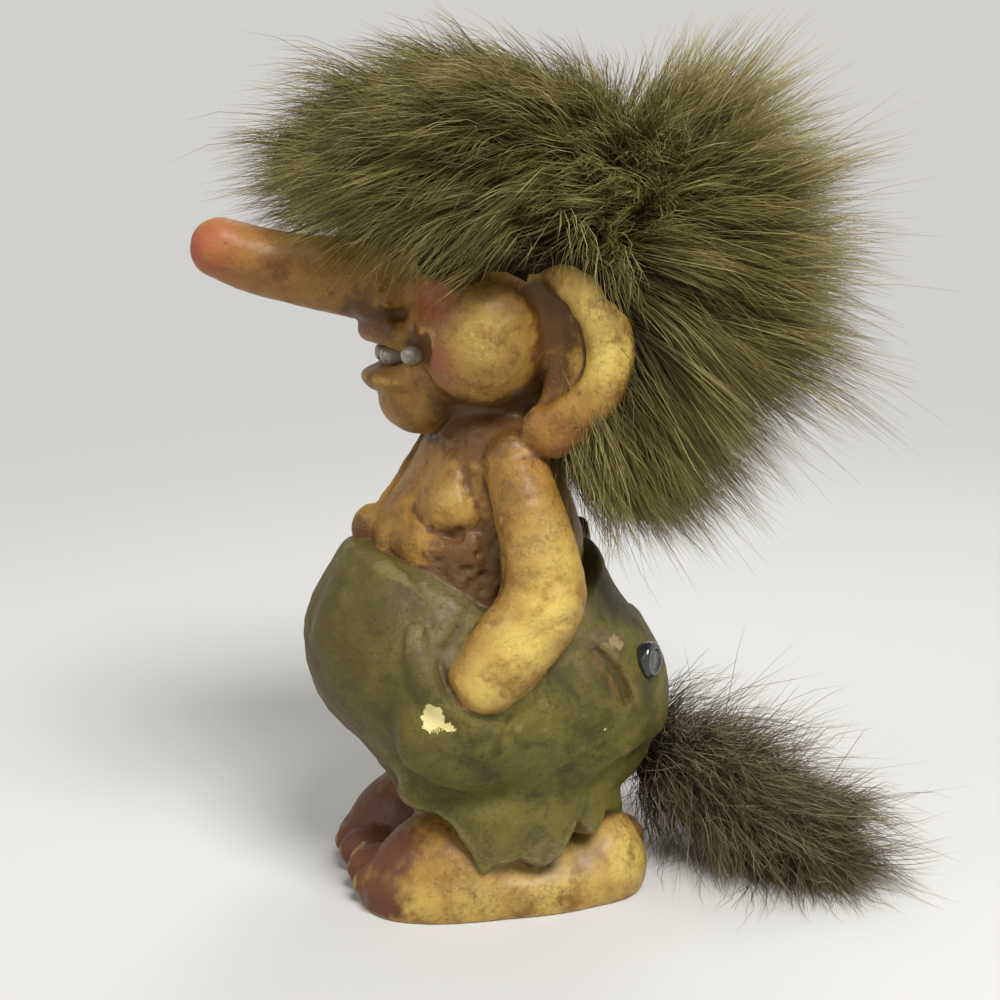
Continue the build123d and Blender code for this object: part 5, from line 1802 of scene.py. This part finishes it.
        # The tail fur is dark at the root too, also as painted shade deep in the pile.
        tail_fibre = FurFinish("tail_fur", (0.014, 0.011, 0.005), (0.080, 0.062, 0.026), (0.20, 0.165, 0.08))
        pelts = (
            (Pelt("front_fur", self.front_guides, self.front_lie, self.scalp.over_skull(False)), fibre),
            (Pelt("back_fur", self.back_guides, self.back_lie, self.scalp.over_skull(True)), fibre),
            (Pelt("tail_fur", self.tail_guides, self.tail_lie, self.scalp.along_strip, core_share=0.3,
                  core_radius=1.1, both_sides=False), tail_fibre.material(effects)),
        )
        for node in ("front_hide", "back_hide", "tail_hide"):
            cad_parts[node].data.materials.clear()
            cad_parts[node].data.materials.append(backing)
        return [piece for pelt, finish in pelts for piece in pelt.build(finish, backing)]


@dataclass
class Studio:
    """A pale floor, soft lamps and the camera, in millimetres and degrees."""

    azimuth: float = 75.0
    elevation: float = 12.0
    distance: float = 240.0
    target: Point = (0.0, 0.0, 55.0)
    lens: float = 61.2
    lamps: tuple[tuple[str, float, float, float, float, float], ...] = (
        ("key", 100.0, 52.0, 900.0, 420.0, 10.0), ("fill", 20.0, 30.0, 1000.0, 800.0, 2.6),
        ("rim", 235.0, 45.0, 900.0, 500.0, 3.0))
    floor_size: float = 2600.0
    floor_fade: tuple[float, float] = (0.10, 0.55)
    floor_colour: Colour = (0.60, 0.59, 0.565)
    room_light: Colour = (0.225, 0.228, 0.232)
    backdrop: Colour = (0.64, 0.63, 0.61)

    def toward(self, azimuth: float, elevation: float) -> Vector:
        """Return the unit way from the troll towards an azimuth and elevation."""
        turn, rise = math.radians(azimuth), math.radians(elevation)
        return Vector((math.sin(turn) * math.cos(rise), -math.cos(turn) * math.cos(rise), math.sin(rise)))

    def aim(self, thing: bpy.types.Object, azimuth: float, elevation: float, distance: float) -> None:
        """Put a lamp or camera at a distance from the target, looking at it."""
        way = self.toward(azimuth, elevation)
        thing.location = (Vector(self.target) + way * distance) * MM
        thing.rotation_euler = way.to_track_quat("Z", "Y").to_euler()
        bpy.context.scene.collection.objects.link(thing)

    def build(self) -> None:
        """Make the camera, lamps, world and floor."""
        camera = bpy.data.objects.new("camera", bpy.data.cameras.new("camera"))
        camera.data.lens = self.lens
        camera.data.sensor_width = 36.0
        camera.data.clip_start = 0.005
        self.aim(camera, self.azimuth, self.elevation, self.distance)
        bpy.context.scene.camera = camera
        for name, azimuth, elevation, distance, size, power in self.lamps:
            data = bpy.data.lights.new(name, "AREA")
            data.shape, data.size, data.energy = "DISK", size * MM, power
            self.aim(bpy.data.objects.new(name, data), azimuth, elevation, distance)
        self.make_room()
        half = self.floor_size / 2
        corners = np.array(((-half, -half, 0), (half, -half, 0), (half, half, 0), (-half, half, 0)), float)
        mesh = new_mesh("floor", corners, [np.array([[0, 1, 2, 3]])])
        floor = bpy.data.objects.new("floor", mesh)
        bpy.context.scene.collection.objects.link(floor)
        material, nodes, shader = new_material("floor_paper", Roughness=0.8)
        shader.inputs["Base Color"].default_value = (*self.floor_colour, 1.0)
        away = nodes.add("ShaderNodeVectorMath", {0: nodes.place()}, operation="LENGTH").outputs["Value"]
        cover = nodes.sum("SUBTRACT", 1.0, nodes.rise(away, *self.floor_fade))
        nodes.tree.links.new(cover, shader.inputs["Alpha"])
        mesh.materials.append(material)

    def make_room(self) -> None:
        """Light the scene softly from all round, with a pale backdrop where the camera sees it."""
        world = bpy.data.worlds.new("soft_room")
        bpy.context.scene.world = world
        world.use_nodes = True
        nodes = Nodes(world.node_tree)
        rays = nodes.add("ShaderNodeLightPath").outputs
        seen = nodes.sum("ADD", rays["Is Camera Ray"], rays["Is Glossy Ray"])
        seen = nodes.sum("MINIMUM", nodes.sum("ADD", seen, rays["Is Transmission Ray"]), 1.0)
        colour = nodes.mix(seen, self.room_light, self.backdrop)
        world.node_tree.links.new(colour, world.node_tree.nodes["Background"].inputs["Color"])


def main() -> None:
    """Build every piece of the troll and the studio round it."""
    logging.basicConfig(level=logging.INFO, format="%(name)s: %(message)s")
    bpy.context.scene.view_settings.view_transform = "Standard"
    effects = Effects()
    Studio().build()
    pieces = Skin(Casting(), Coat()).build(CastPaint().material(effects))
    pieces += Fittings().build(effects)
    pieces += Hair(Scalp()).build(effects)
    LOG.info("%d pieces built", len(pieces))


if __name__ == "__main__":
    main()
